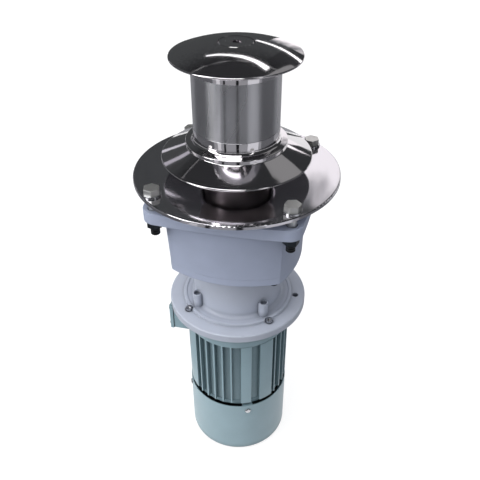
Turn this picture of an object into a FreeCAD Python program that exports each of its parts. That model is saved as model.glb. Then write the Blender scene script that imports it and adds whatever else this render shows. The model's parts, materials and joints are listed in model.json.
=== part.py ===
"""Deck capstan: a rope drum above a deck plate, driven through a two-stage planetary gearbox by a
flange motor that hangs below the deck.

Millimetres. The origin is the centre of the deck plate's underside, +Z points up along the drum's
axis, and the square of four deck bolts is lined up with X and Y. The motor's terminal box is on -X.
"""
import FreeCAD, Part
import math
import os
import re

import Sketcher
from FreeCAD import Placement, Rotation, Vector

os.makedirs("parts", exist_ok=True)
doc = FreeCAD.newDocument("DeckCapstan")

# ---------------------------------------------------------------------------------------------
# Driving dimensions: one row of the sheet each
# ---------------------------------------------------------------------------------------------
SIZES = {
    # clearances
    "running_gap": 0.03,            # radial, between a shaft and what it turns in
    "seat_gap": 0.4,                # between faces that turn past each other
    # deck plate and its bolts
    "plate_radius": 134,
    "plate_thickness": 5,
    "plate_edge_round": 1.5,
    "bolt_half_spacing": 86,
    "bolt_radius": 6,
    "bolt_hole_gap": 0.75,
    "hex_across": 18,
    "bolt_head_height": 7.5,
    "washer_radius": 11.5,
    "washer_thickness": 2.5,
    "nut_height": 10,
    "bolt_tail": 12,
    "deck_gap": 14,                 # between the deck plate and the gearbox, left for the deck
    # gearbox case
    "slab_thickness": 16,
    "slab_half": 100,
    "slab_corner": 18,
    "slab_bulge": 4,
    "case_depth": 78,
    "case_top_half": 76,
    "case_bottom_half": 73,
    "case_bulge": 18,
    "ceiling_thickness": 6,
    "cavity_radius": 78,
    "cover_thickness": 10,
    "cover_spigot": 15,
    "cover_spigot_wall": 7,
    "cover_screw_place": 63,
    "cover_screw_radius": 4,
    "plug_across": 17,
    "plug_radius": 7,
    "plug_height": 7,
    # neck and motor flange
    "neck_radius": 64,
    "neck_bore": 50,
    "neck_length": 83,
    "neck_cove": 5,
    "neck_screw_radius": 3,
    "neck_screw_depth": 18,
    "flange_radius": 100,
    "flange_thickness": 13,
    "flange_edge": 2,
    "raised_ring_radius": 81,
    "raised_ring_inner": 76,
    "raised_ring_height": 3,
    "boss_radius": 7,
    "boss_circle": 67,
    "boss_height": 25,
    "boss_recess": 4,
    "flange_screw_circle": 82.5,
    "flange_screw_radius": 3,
    "flange_screw_sink": 6,
    "spare_hole_circle": 86,
    "spare_hole_radius": 4.5,
    # shaft column under the drum
    "column_radius": 43,
    "column_bore": 30,
    "column_top": 110,
    "column_flange": 58,
    "column_screw_circle": 50.5,
    "column_screw_radius": 4,
    "plate_screw_radius": 3,
    "plate_bore_gap": 1,
    # bearings and seal of the output shaft
    "shaft_radius": 17.5,
    "main_bearing_radius": 36,
    "main_bearing_width": 17,
    "bearing_lip": 4,
    "race_land": 4,
    "shield_recess": 0.8,
    "seal_height": 8,
    # output stage: sun, planets, ring
    "output_module": 2,
    "output_face": 29,
    "output_ring_wall": 7.5,
    "output_pin_radius": 8,
    "output_carrier_radius": 58,
    "output_carrier_thickness": 20,
    "gear_side_gap": 1.5,
    "pin_head_rim": 3,
    "pin_head_height": 1.7,
    # input stage
    "input_module": 1.5,
    "input_face": 21.5,
    "input_ring_wall": 6.1,
    "input_pin_radius": 5,
    "input_carrier_radius": 38,
    "input_carrier_thickness": 12,
    "input_shaft_radius": 10,
    "small_bearing_radius": 23.5,
    "small_bearing_width": 14,
    "web_boss_wall": 6,
    "pinion_stem": 6,
    "pinion_grip": 26,
    # drum
    "drum_radius": 54.5,
    "drum_waist_step": 0.3,
    "drum_bore": 47.5,
    "drum_foot": 40,
    "drum_top": 150,
    "upper_band": 138,
    "lower_band": 66.5,
    "drum_spigot": 50.5,
    "skirt_seat": 55,
    "drum_web_top": 140,
    "drum_web_thickness": 14,
    "hub_radius": 26,
    "hub_drop": 14,
    "shaft_end_radius": 15,
    "shaft_end_gap": 2,
    "hub_floor": 112,
    "key_width": 8,
    "key_height": 7,
    "key_sink": 4,
    "key_end_gap": 2,
    # skirt
    "skirt_radius": 96,
    "skirt_rim": 27.5,
    "skirt_thickness": 4,
    "bead_radius": 64.5,
    "bead_height": 48,
    "bead_drop": 5,
    "skirt_cove": 4.5,
    # cap
    "cap_radius": 79,
    "cap_rim": 155,
    "cap_crown": 15,
    "cap_rim_thickness": 2.6,
    "cap_recess": 5,
    "cap_lip": 3.5,
    "cap_lip_wall": 5,
    "cap_boss": 22,
    "cap_screw_radius": 6,
    "cap_screw_length": 56,
    "cap_washer_radius": 21.2,
    "cap_washer_thickness": 7.5,
    "cap_washer_gap": 0.3,
    "cap_socket": 10,
    # motor
    "shield_flange_radius": 93,
    "shield_flange_thickness": 8,
    "shield_ring_radius": 77,
    "shield_ring_height": 25,
    "shield_spigot_height": 23,
    "shield_wall": 6,
    "motor_seal_height": 6,
    "frame_radius": 70.5,
    "frame_bore": 65,
    "frame_length": 121.5,
    "fin_tip": 77,
    "fin_width": 2.4,
    "panel_radius": 76.5,
    "pad_radius": 77.5,
    "lip_height": 4,
    "lip_wall": 4,
    "rotor_radius": 39,
    "air_gap": 0.35,
    "core_end_gap": 24.5,
    "core_start": 19,
    "winding_outer": 60,
    "winding_inner": 45,
    "winding_height": 13,
    "rotor_shaft_radius": 12.5,
    "fan_shaft_radius": 9,
    "end_shield_gap": 6.5,
    "end_shield_thickness": 8,
    "end_hub_wall": 7,
    "lug_width": 16,
    "lug_height": 18,
    "cowl_radius": 77.5,
    "cowl_sheet": 1.2,
    "cowl_length": 107.5,
    "cowl_start_gap": 8,
    "cowl_round": 6,
    "cowl_screw_drop": 11,
    "cowl_screw_radius": 2.5,
    "fan_radius": 62,
    "fan_hub_radius": 16,
    "fan_height": 32,
    "fan_plate": 3,
    "fan_blade": 2.5,
    "fan_floor_gap": 22,
    # terminal box
    "box_half_width": 34,
    "box_height": 42,
    "box_drop": 2,
    "box_floor_gap": 3,
    "box_depth": 12,
    "box_wall": 3,
    "gasket_thickness": 1,
    "lid_thickness": 5,
    "lid_overhang": 1,
    "lid_screw_radius": 2,
    "lid_screw_inset": 6,
    "board_thickness": 4,
    "board_half_width": 20,
    "stud_radius": 2,
    "stud_length": 7,
    "gland_radius": 9,
    "gland_bore": 5,
    "gland_length": 16,
}
NOTES = {"running_gap": "radial clearance of shafts and pins", "deck_gap": "space for the deck"}

sheet = doc.addObject("Spreadsheet::Sheet", "Sizes")
for row, (alias, number) in enumerate(SIZES.items(), start=1):
    sheet.set(f"A{row}", alias)
    sheet.set(f"B{row}", str(number))
    sheet.set(f"C{row}", NOTES.get(alias, ""))
    sheet.setAlias(f"B{row}", alias)
doc.recompute()

# Counts are whole numbers that shape the gear trains, so they are not lengths on the sheet
OUTPUT_SUN_TEETH, OUTPUT_PLANET_TEETH, OUTPUT_RING_TEETH = 18, 27, 72
INPUT_SUN_TEETH, INPUT_PLANET_TEETH, INPUT_RING_TEETH = 12, 24, 60
PLANETS = 3
PRESSURE_ANGLE = math.radians(20)
ADDENDUM, DEDENDUM = 0.8, 1.0       # stub teeth, in modules
TOOTH_PLAY = 0.075                  # taken off each flank, in modules

# ---------------------------------------------------------------------------------------------
# Derived places, written as expressions of the sheet's names. Levels are heights above the origin
# ---------------------------------------------------------------------------------------------
SLAB_TOP = "(-deck_gap)"
SLAB_BOTTOM = f"({SLAB_TOP} - slab_thickness)"
CASE_BOTTOM = f"({SLAB_BOTTOM} - case_depth)"
COVER_BOTTOM = f"({CASE_BOTTOM} - cover_thickness)"
FLANGE_TOP = f"({COVER_BOTTOM} - neck_length)"
FLANGE_BOTTOM = f"({FLANGE_TOP} - flange_thickness)"
CEILING = f"({SLAB_BOTTOM} - ceiling_thickness)"
CASE_BEARING_TOP = f"({SLAB_TOP} - 1)"
CASE_BEARING_BOTTOM = f"({CASE_BEARING_TOP} - main_bearing_width)"
SEAL_BOTTOM = "(column_top - 1 - seal_height)"
COLUMN_BEARING_BOTTOM = f"({SEAL_BOTTOM} - main_bearing_width)"
BOLT_CIRCLE = "(bolt_half_spacing * sqrt(2))"

OUTPUT_CARRIER_TOP = f"({CEILING} - 2)"
OUTPUT_CARRIER_BOTTOM = f"({OUTPUT_CARRIER_TOP} - output_carrier_thickness)"
OUTPUT_GEAR_TOP = f"({OUTPUT_CARRIER_BOTTOM} - gear_side_gap)"
OUTPUT_GEAR_BOTTOM = f"({OUTPUT_GEAR_TOP} - output_face)"
OUTPUT_PIN_CIRCLE = f"(output_module * {OUTPUT_SUN_TEETH + OUTPUT_PLANET_TEETH} / 2)"
RING_SEAT = f"(output_module * {OUTPUT_RING_TEETH / 2 + DEDENDUM} + output_ring_wall)"
RING_BOTTOM = f"({CASE_BOTTOM} + cover_spigot)"

WEB_BEARING_TOP = f"({COVER_BOTTOM} + small_bearing_width)"
INPUT_CARRIER_TOP = f"({COVER_BOTTOM} - 2)"
INPUT_CARRIER_BOTTOM = f"({INPUT_CARRIER_TOP} - input_carrier_thickness)"
INPUT_GEAR_TOP = f"({INPUT_CARRIER_BOTTOM} - gear_side_gap)"
INPUT_GEAR_BOTTOM = f"({INPUT_GEAR_TOP} - input_face)"
INPUT_PIN_CIRCLE = f"(input_module * {INPUT_SUN_TEETH + INPUT_PLANET_TEETH} / 2)"
INPUT_RING_SEAT = f"(input_module * {INPUT_RING_TEETH / 2 + DEDENDUM} + input_ring_wall)"
INPUT_RING_TOP = f"({INPUT_CARRIER_BOTTOM} + 1)"
INPUT_RING_BOTTOM = f"({INPUT_GEAR_BOTTOM} - 3)"

SHIELD_FLANGE_BOTTOM = f"({FLANGE_BOTTOM} - shield_flange_thickness)"
SHIELD_BOTTOM = f"({SHIELD_FLANGE_BOTTOM} - shield_ring_height)"
SPIGOT_TOP = f"({FLANGE_BOTTOM} + shield_spigot_height)"
MOTOR_SEAL_TOP = f"({SPIGOT_TOP} - 1)"
MOTOR_BEARING_TOP = f"({MOTOR_SEAL_TOP} - motor_seal_height)"
MOTOR_BEARING_BOTTOM = f"({MOTOR_BEARING_TOP} - small_bearing_width)"
FRAME_BOTTOM = f"({SHIELD_BOTTOM} - frame_length)"
CORE_TOP = f"({SHIELD_BOTTOM} - core_start)"
CORE_BOTTOM = f"({FRAME_BOTTOM} + core_end_gap)"
END_SHIELD_BOTTOM = f"({FRAME_BOTTOM} - end_shield_thickness)"
END_BEARING_TOP = f"({FRAME_BOTTOM} - 2)"
END_BEARING_BOTTOM = f"({END_BEARING_TOP} - small_bearing_width)"
COWL_TOP = f"({FRAME_BOTTOM} - cowl_start_gap)"
COWL_BOTTOM = f"({COWL_TOP} - cowl_length)"
FAN_BOTTOM = f"({COWL_BOTTOM} + fan_floor_gap)"
FAN_TOP = f"({FAN_BOTTOM} + fan_height)"
COWL_INNER = "(cowl_radius - cowl_sheet)"
END_SHIELD_RADIUS = "(cowl_radius - end_shield_gap)"
COWL_SCREW_LEVEL = f"({COWL_TOP} - cowl_screw_drop)"
COWL_SCREW_ANGLE = "(-66)"
BOX_FLOOR = "(shield_ring_radius + box_floor_gap)"
BOX_REACH = f"({BOX_FLOOR} + box_depth)"
BOX_TOP = f"({SHIELD_FLANGE_BOTTOM} - box_drop)"
BOX_BOTTOM = f"({BOX_TOP} - box_height)"
PLUG_SEAT = "(case_bottom_half + case_bulge - 1)"
PLUG_LEVEL = f"({SLAB_BOTTOM} - plug_across)"
CAP_APEX = "(cap_rim + cap_crown)"
WASHER_TOP = f"({CAP_APEX} - 1.2)"
CAP_SCREW_IN_SHAFT = f"(drum_web_top - shaft_end_gap - {WASHER_TOP} + cap_screw_length + 2)"
KEY_LENGTH = "(drum_web_top - shaft_end_gap - hub_floor - key_end_gap)"
KEY_OUTER = "(shaft_end_radius - key_sink + key_height)"
NECK_SCREW_CIRCLE = "((neck_radius + neck_bore) / 2)"
CAP_SPHERE = "((cap_radius * cap_radius + cap_crown * cap_crown) / (2 * cap_crown))"

NAME = re.compile(r"\b[a-z]+(?:_[a-z]+)+\b")


def expression(text):
    """Every size's name with the sheet's name in front of it."""
    return NAME.sub(lambda found: "Sizes." + found.group(0), text)


def bind(thing, prop, text):
    thing.setExpression(prop, expression(text))


def value(text):
    """The number that an expression of size names gives now."""
    return float(sheet.evalExpression(text))


# ---------------------------------------------------------------------------------------------
# Helpers: a piece is a PartDesign body whose sketches are tied to the sheet
# ---------------------------------------------------------------------------------------------
class Piece:
    """One sub-part. Profiles are closed lists of (across, up) expressions; a third entry is the
    radius of the arc that starts there, counter-clockwise, or clockwise with a minus in front."""

    def __init__(self, label, angle="0"):
        self.body = doc.addObject("PartDesign::Body", label)
        self.body.Label = label
        self.origin = {item.Role: item for item in self.body.Origin.OriginFeatures}
        self.features = []
        bind(self.body, "Placement.Rotation.Angle", angle)

    def sketch(self, plane, level="0"):
        drawing = self.body.newObject("Sketcher::SketchObject", self.body.Label + "_sketch")
        drawing.AttachmentSupport = [(self.origin[plane], "")]
        drawing.MapMode = "FlatFace"
        bind(drawing, "AttachmentOffset.Base.z", level)
        return drawing

    def pin_point(self, drawing, line, end, across, up):
        for kind, text in (("DistanceX", across), ("DistanceY", up)):
            number = drawing.addConstraint(
                Sketcher.Constraint(kind, -1, 1, line, end, value(text)))
            bind(drawing, f"Constraints[{number}]", text)

    def profile(self, plane, points, level="0"):
        """A closed outline of lines and arcs, fixed at its corners."""
        drawing = self.sketch(plane, level)
        ends = []
        for index, point in enumerate(points):
            after = points[(index + 1) % len(points)]
            start = Vector(value(point[0]), value(point[1]), 0)
            stop = Vector(value(after[0]), value(after[1]), 0)
            if len(point) == 2:
                drawing.addGeometry(Part.LineSegment(start, stop), False)
                ends.append((1, 2))
                continue
            turn = -1 if point[2].startswith("-") else 1
            radius = value(point[2].lstrip("-"))
            chord = stop - start
            rise = math.sqrt(radius ** 2 - chord.Length ** 2 / 4)
            centre = (start + stop) / 2 + Vector(-chord.y, chord.x, 0) * (turn * rise / chord.Length)
            first, last = (start, stop) if turn > 0 else (stop, start)
            angles = [math.atan2(end.y - centre.y, end.x - centre.x) for end in (first, last)]
            circle = Part.Circle(centre, Vector(0, 0, 1), radius)
            drawing.addGeometry(Part.ArcOfCircle(circle, *angles), False)
            ends.append((1, 2) if turn > 0 else (2, 1))
        for index, point in enumerate(points):
            after = (index + 1) % len(points)
            drawing.addConstraint(
                Sketcher.Constraint("Coincident", index, ends[index][1], after, ends[after][0]))
            self.pin_point(drawing, index, ends[index][0], point[0], point[1])
            if len(point) == 3:
                text = point[2].lstrip("-")
                number = drawing.addConstraint(Sketcher.Constraint("Radius", index, value(text)))
                bind(drawing, f"Constraints[{number}]", text)
        return drawing

    def add(self, kind, drawing):
        feature = self.body.newObject("PartDesign::" + kind, self.body.Label + "_" + kind)
        feature.Profile = drawing
        self.features.append(feature)
        return feature

    def turn(self, points, cut=False, upright_at=None, level_at=None):
        """Revolve a profile about Z, or about a line parallel to Z or to X."""
        drawing = self.profile("XZ_Plane", points)
        axis = "V_Axis"
        if upright_at or level_at:
            axis = "Axis0"
            start = (upright_at, "0") if upright_at else ("0", level_at)
            stop = (upright_at, "10") if upright_at else ("10", level_at)
            ends = [Vector(value(end[0]), value(end[1]), 0) for end in (start, stop)]
            line = drawing.addGeometry(Part.LineSegment(*ends), True)
            self.pin_point(drawing, line, 1, *start)
            self.pin_point(drawing, line, 2, *stop)
        feature = self.add("Groove" if cut else "Revolution", drawing)
        feature.ReferenceAxis = (drawing, [axis])
        feature.Angle = 360
        return feature

    def raise_up(self, points, bottom, height):
        """Pad a plan outline upwards from a level."""
        feature = self.add("Pad", self.profile("XY_Plane", points, bottom))
        bind(feature, "Length", height)
        return feature

    def sink(self, drawing, depth, upwards=False):
        """Pocket a sketch downwards, or upwards, and make sure that it took something away."""
        doc.recompute()
        before = self.body.Shape.Volume
        feature = self.add("Pocket", drawing)
        bind(feature, "Length", depth)
        feature.Reversed = upwards
        doc.recompute()
        if self.body.Shape.Volume >= before:
            raise ValueError(self.body.Label + " has a pocket that cuts nothing")
        return feature

    def disc(self, plane, across, up, radius, level):
        """A sketch with one circle."""
        drawing = self.sketch(plane, level)
        centre = Vector(value(across), value(up), 0)
        drawing.addGeometry(Part.Circle(centre, Vector(0, 0, 1), value(radius)), False)
        self.pin_point(drawing, 0, 3, across, up)
        number = drawing.addConstraint(Sketcher.Constraint("Radius", 0, value(radius)))
        bind(drawing, f"Constraints[{number}]", radius)
        return drawing

    def drill(self, across, up, radius, top, depth):
        return self.sink(self.disc("XY_Plane", across, up, radius, top), depth)

    def carve(self, points, top, depth, upwards=False):
        return self.sink(self.profile("XY_Plane", points, top), depth, upwards)

    def repeat(self, count, *features, angle="360"):
        """Copies of the features, evenly round Z."""
        pattern = self.body.newObject("PartDesign::PolarPattern", self.body.Label + "_copies")
        pattern.Originals = list(features)
        pattern.Axis = (self.origin["Z_Axis"], [""])
        bind(pattern, "Angle", angle)
        pattern.Occurrences = count
        self.body.Tip = pattern
        return pattern


def ring(inner, outer, bottom, top):
    """The rectangle that turns into a plain ring or, with no inner radius, a disc."""
    return [(inner, bottom), (outer, bottom), (outer, top), (inner, top)]


def hexagon(centre, across, up="0"):
    corners = range(0, 360, 60)
    return [(f"{centre} + {across} / sqrt(3) * cos({corner})",
             f"{up} + {across} / sqrt(3) * sin({corner})") for corner in corners]


def rectangle(left, right, front, back):
    return [(left, front), (right, front), (right, back), (left, back)]


def polar(radius, angle):
    return f"{radius} * cos({angle})", f"{radius} * sin({angle})"


def sector(inner, outer, first, last):
    """A plan outline between two radii and two angles in degrees."""
    return [(*polar(inner, first),), (*polar(outer, first), outer),
            (*polar(outer, last),), (*polar(inner, last), "-" + inner)]


def bulged_square(half, bulge):
    """A square plan whose sides are shallow arcs, with sharp corners."""
    arc = f"(({half} * {half} + {bulge} * {bulge}) / (2 * {bulge}))"
    return [(f"{half}", f"-{half}", arc), (f"{half}", f"{half}", arc),
            (f"-{half}", f"{half}", arc), (f"-{half}", f"-{half}", arc)]


def rounded_square(half, corner, bulge):
    """A square plan with rounded corners and slightly bulged sides."""
    flat = f"({half} - {corner})"
    arc = f"(({flat} * {flat} + {bulge} * {bulge}) / (2 * {bulge}))"
    points = []
    for x, y in ((1, -1), (1, 1), (-1, 1), (-1, -1)):
        before, after = (flat, half) if x * y < 0 else (half, flat)
        points.append((f"({x}) * {before}", f"({y}) * {after}", corner))
        points.append((f"({x}) * {after}", f"({y}) * {before}", arc))
    return points


def bearing(label, bore, outer, bottom, width):
    """A sealed ball bearing: two races joined by recessed shields."""
    piece = Piece(label)
    top = f"({bottom} + {width})"
    bore = f"({bore} + running_gap)"
    inner_land = f"({bore} + race_land)"
    outer_land = f"({outer} - race_land)"
    piece.turn([
        (bore, bottom), (inner_land, bottom), (inner_land, f"{bottom} + shield_recess"),
        (outer_land, f"{bottom} + shield_recess"), (outer_land, bottom), (outer, bottom),
        (outer, top), (outer_land, top), (outer_land, f"{top} - shield_recess"),
        (inner_land, f"{top} - shield_recess"), (inner_land, top), (bore, top)])


def socket_screws(label, circle, angle, count, seat, length, shank, head, height, down=False):
    """Cap screws on a circle; the head sits at the seat's level, above it or, with down, below."""
    piece = Piece(label, angle)
    sign = -1 if down else 1
    tip = f"({seat} - ({sign}) * {length})"
    crown = f"({seat} + ({sign}) * {height})"
    body = piece.turn([
        (circle, tip), (f"{circle} + {shank}", tip), (f"{circle} + {shank}", seat),
        (f"{circle} + {head}", seat), (f"{circle} + {head}", crown), (circle, crown)],
        upright_at=circle)
    socket = piece.carve(hexagon(circle, f"({shank} * 1.5)"), crown, f"{height} / 2", upwards=down)
    piece.repeat(count, body, socket)


def rolled_copy(source, label, angle):
    """A Part feature with the source's shape, turned round Z from where it stands."""
    copy = doc.addObject("Part::Feature", label)
    copy.Label = label
    copy.Shape = source.copy()
    turn = Placement(Vector(), Rotation(Vector(0, 0, 1), angle))
    copy.Placement = turn.multiply(source.Placement)


# ---------------------------------------------------------------------------------------------
# Gear teeth
# ---------------------------------------------------------------------------------------------
def involute(angle):
    return math.tan(angle) - angle


def half_tooth_angle(radius, teeth, module, play):
    """Half of a tooth's angle at a radius; play widens it for the gaps of a ring."""
    pitch = module * teeth / 2
    base = pitch * math.cos(PRESSURE_ANGLE)
    pressure = math.acos(min(1.0, base / max(radius, base)))
    return (math.pi / 2 + 2 * play) / teeth + involute(PRESSURE_ANGLE) - involute(pressure)


def toothed_face(teeth, module, low, high, play, turn=0.0):
    """A face bounded by teeth that stand from the low to the high radius."""
    steps = 4
    points = []
    for tooth in range(teeth):
        middle = 2 * math.pi * tooth / teeth + turn
        radii = [low + (high - low) * step / steps for step in range(steps + 1)]
        rising = [(radius, middle - half_tooth_angle(radius, teeth, module, play))
                  for radius in radii]
        falling = [(radius, 2 * middle - angle) for radius, angle in reversed(rising)]
        points += [Vector(radius * math.cos(angle), radius * math.sin(angle), 0)
                   for radius, angle in rising + falling]
    return Part.Face(Part.makePolygon(points + points[:1]))


def outside_gear(label, teeth, module, bore, bottom, top, centre="0", turn=0.0):
    """A spur gear whose bore goes through; it stands on X at the centre's distance."""
    module = value(module)
    pitch = module * teeth / 2
    face = toothed_face(teeth, module, pitch - DEDENDUM * module, pitch + ADDENDUM * module,
                        -TOOTH_PLAY, turn)
    low, high = value(bottom), value(top)
    shape = face.extrude(Vector(0, 0, high - low))
    if bore:
        shape = shape.cut(Part.makeCylinder(value(bore), high - low))
    shape.translate(Vector(value(centre), 0, low))
    if label is None:
        return shape
    gear = doc.addObject("Part::Feature", label)
    gear.Label = label
    gear.Shape = shape
    return shape


def ring_gear(label, teeth, module, outer, bottom, top, turn=0.0):
    """An internal gear: a ring less the teeth-shaped space inside it."""
    module = value(module)
    pitch = module * teeth / 2
    space = toothed_face(teeth, module, pitch - ADDENDUM * module, pitch + DEDENDUM * module,
                         TOOTH_PLAY, turn)
    low, high = value(bottom), value(top)
    blank = Part.makeCylinder(value(outer), high - low)
    gear = doc.addObject("Part::Feature", label)
    gear.Label = label
    gear.Shape = blank.cut(space.extrude(Vector(0, 0, high - low)))
    gear.Placement = Placement(Vector(0, 0, low), Rotation())


# ---------------------------------------------------------------------------------------------
# Deck plate and what clamps it
# ---------------------------------------------------------------------------------------------
def deck_plate():
    piece = Piece("deck_plate")
    inner = "(column_radius + plate_bore_gap)"
    edge = "(plate_radius - plate_edge_round)"
    piece.turn([(inner, "0"), ("plate_radius", "0"),
                ("plate_radius", "plate_thickness - plate_edge_round", "plate_edge_round"),
                (edge, "plate_thickness"), (inner, "plate_thickness")])
    hole = piece.drill("bolt_half_spacing", "bolt_half_spacing", "bolt_radius + bolt_hole_gap",
                       "plate_thickness", "plate_thickness")
    piece.repeat(4, hole)
    sink = "(plate_screw_radius * 2)"
    countersink = piece.turn([
        ("column_screw_circle", "0"), ("column_screw_circle + plate_screw_radius", "0"),
        ("column_screw_circle + plate_screw_radius", "plate_thickness - plate_screw_radius"),
        (f"column_screw_circle + {sink}", "plate_thickness"),
        ("column_screw_circle", "plate_thickness")], cut=True, upright_at="column_screw_circle")
    piece.repeat(4, countersink)


def deck_plate_screws():
    piece = Piece("deck_plate_screws")
    tip = f"({SLAB_TOP} + 3)"
    neck = "(plate_thickness - plate_screw_radius)"
    screw = piece.turn([
        ("column_screw_circle", tip), ("column_screw_circle + plate_screw_radius", tip),
        ("column_screw_circle + plate_screw_radius", neck),
        ("column_screw_circle + plate_screw_radius * 2", "plate_thickness"),
        ("column_screw_circle", "plate_thickness")], upright_at="column_screw_circle")
    socket = piece.carve(hexagon("column_screw_circle", "(plate_screw_radius * 1.3)"),
                         "plate_thickness", "plate_thickness / 2")
    piece.repeat(4, screw, socket)


def deck_bolts():
    seat = "(plate_thickness + washer_thickness)"
    tail = f"({SLAB_BOTTOM} - nut_height - bolt_tail)"
    bolts = Piece("deck_bolts", "45")
    shank = bolts.turn([(BOLT_CIRCLE, tail), (f"{BOLT_CIRCLE} + bolt_radius - 1", tail),
                        (f"{BOLT_CIRCLE} + bolt_radius", f"{tail} + 1"),
                        (f"{BOLT_CIRCLE} + bolt_radius", seat), (BOLT_CIRCLE, seat)],
                       upright_at=BOLT_CIRCLE)
    head = bolts.raise_up(hexagon(BOLT_CIRCLE, "hex_across"), seat, "bolt_head_height")
    bolts.repeat(4, shank, head)
    washers = Piece("deck_bolt_washers", "45")
    hole = f"({BOLT_CIRCLE} + bolt_radius + running_gap)"
    disc = washers.turn(ring(hole, f"{BOLT_CIRCLE} + washer_radius", "plate_thickness", seat),
                        upright_at=BOLT_CIRCLE)
    washers.repeat(4, disc)
    nuts = Piece("deck_bolt_nuts", "45")
    nut = nuts.raise_up(hexagon(BOLT_CIRCLE, "hex_across"), f"({SLAB_BOTTOM} - nut_height)",
                        "nut_height")
    thread = nuts.drill(BOLT_CIRCLE, "0", "bolt_radius", SLAB_BOTTOM, "nut_height")
    nuts.repeat(4, nut, thread)


# ---------------------------------------------------------------------------------------------
# Gearbox case, cover with neck, and shaft column
# ---------------------------------------------------------------------------------------------
def gearbox_case():
    piece = Piece("gearbox_case")
    piece.raise_up(rounded_square("slab_half", "slab_corner", "slab_bulge"), SLAB_BOTTOM,
                   "slab_thickness")
    top = piece.profile("XY_Plane", bulged_square("case_top_half", "case_bulge"), SLAB_BOTTOM)
    bottom = piece.profile("XY_Plane", bulged_square("case_bottom_half", "case_bulge"),
                           CASE_BOTTOM)
    loft = piece.add("AdditiveLoft", top)
    loft.Sections = [bottom]
    loft.Ruled = True
    piece.turn([("0", f"{CASE_BOTTOM} - 1"), (RING_SEAT, f"{CASE_BOTTOM} - 1"),
                (RING_SEAT, OUTPUT_GEAR_TOP), ("cavity_radius", OUTPUT_GEAR_TOP),
                ("cavity_radius", CEILING), ("main_bearing_radius - bearing_lip", CEILING),
                ("main_bearing_radius - bearing_lip", CASE_BEARING_BOTTOM),
                ("main_bearing_radius", CASE_BEARING_BOTTOM),
                ("main_bearing_radius", f"{SLAB_TOP} + 1"), ("0", f"{SLAB_TOP} + 1")], cut=True)
    bolt_hole = piece.drill("bolt_half_spacing", "bolt_half_spacing",
                            "bolt_radius + bolt_hole_gap", SLAB_TOP, "slab_thickness")
    piece.repeat(4, bolt_hole)
    column_hole = piece.drill(*polar("column_screw_circle", "45"), "column_screw_radius",
                              SLAB_TOP, "slab_thickness")
    piece.repeat(4, column_hole)
    cover_hole = piece.drill("cover_screw_place", "cover_screw_place", "cover_screw_radius",
                             f"{CASE_BOTTOM} + 2 * cover_thickness", "2 * cover_thickness")
    piece.repeat(4, cover_hole)
    wall_face = f"(-({PLUG_SEAT} + 2 * case_bulge))"
    spot = piece.disc("XZ_Plane", "0", PLUG_LEVEL, "plug_across * 0.65", wall_face)
    piece.sink(spot, "2 * case_bulge", upwards=True)
    thread = piece.disc("XZ_Plane", "0", PLUG_LEVEL, "plug_radius", wall_face)
    piece.sink(thread, f"{PLUG_SEAT} + 2 * case_bulge - cavity_radius + 2", upwards=True)


def case_cover():
    """The plate that closes the case: it carries the inner bearing and backs the ring gear."""
    piece = Piece("case_cover")
    piece.raise_up(bulged_square("case_bottom_half", "case_bulge"), COVER_BOTTOM,
                   "cover_thickness")
    web_boss = "(small_bearing_radius + web_boss_wall)"
    piece.turn(ring("small_bearing_radius", web_boss, f"{CASE_BOTTOM} - 1",
                    f"{WEB_BEARING_TOP} + 1"))
    piece.turn(ring(f"({RING_SEAT} - cover_spigot_wall)", RING_SEAT, f"{CASE_BOTTOM} - 1",
                    RING_BOTTOM))
    piece.turn([("0", f"{COVER_BOTTOM} - 1"), ("small_bearing_radius - 2", f"{COVER_BOTTOM} - 1"),
                ("small_bearing_radius - 2", f"{COVER_BOTTOM} + 1"),
                ("small_bearing_radius", f"{COVER_BOTTOM} + 1"),
                ("small_bearing_radius", f"{WEB_BEARING_TOP} + 2"),
                ("0", f"{WEB_BEARING_TOP} + 2")], cut=True)
    case_hole = piece.drill("cover_screw_place", "cover_screw_place", "cover_screw_radius",
                            CASE_BOTTOM, "cover_thickness")
    piece.repeat(4, case_hole)
    neck_hole = piece.drill(NECK_SCREW_CIRCLE, "0", "neck_screw_radius", CASE_BOTTOM,
                            "cover_thickness")
    piece.repeat(6, neck_hole)


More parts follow.
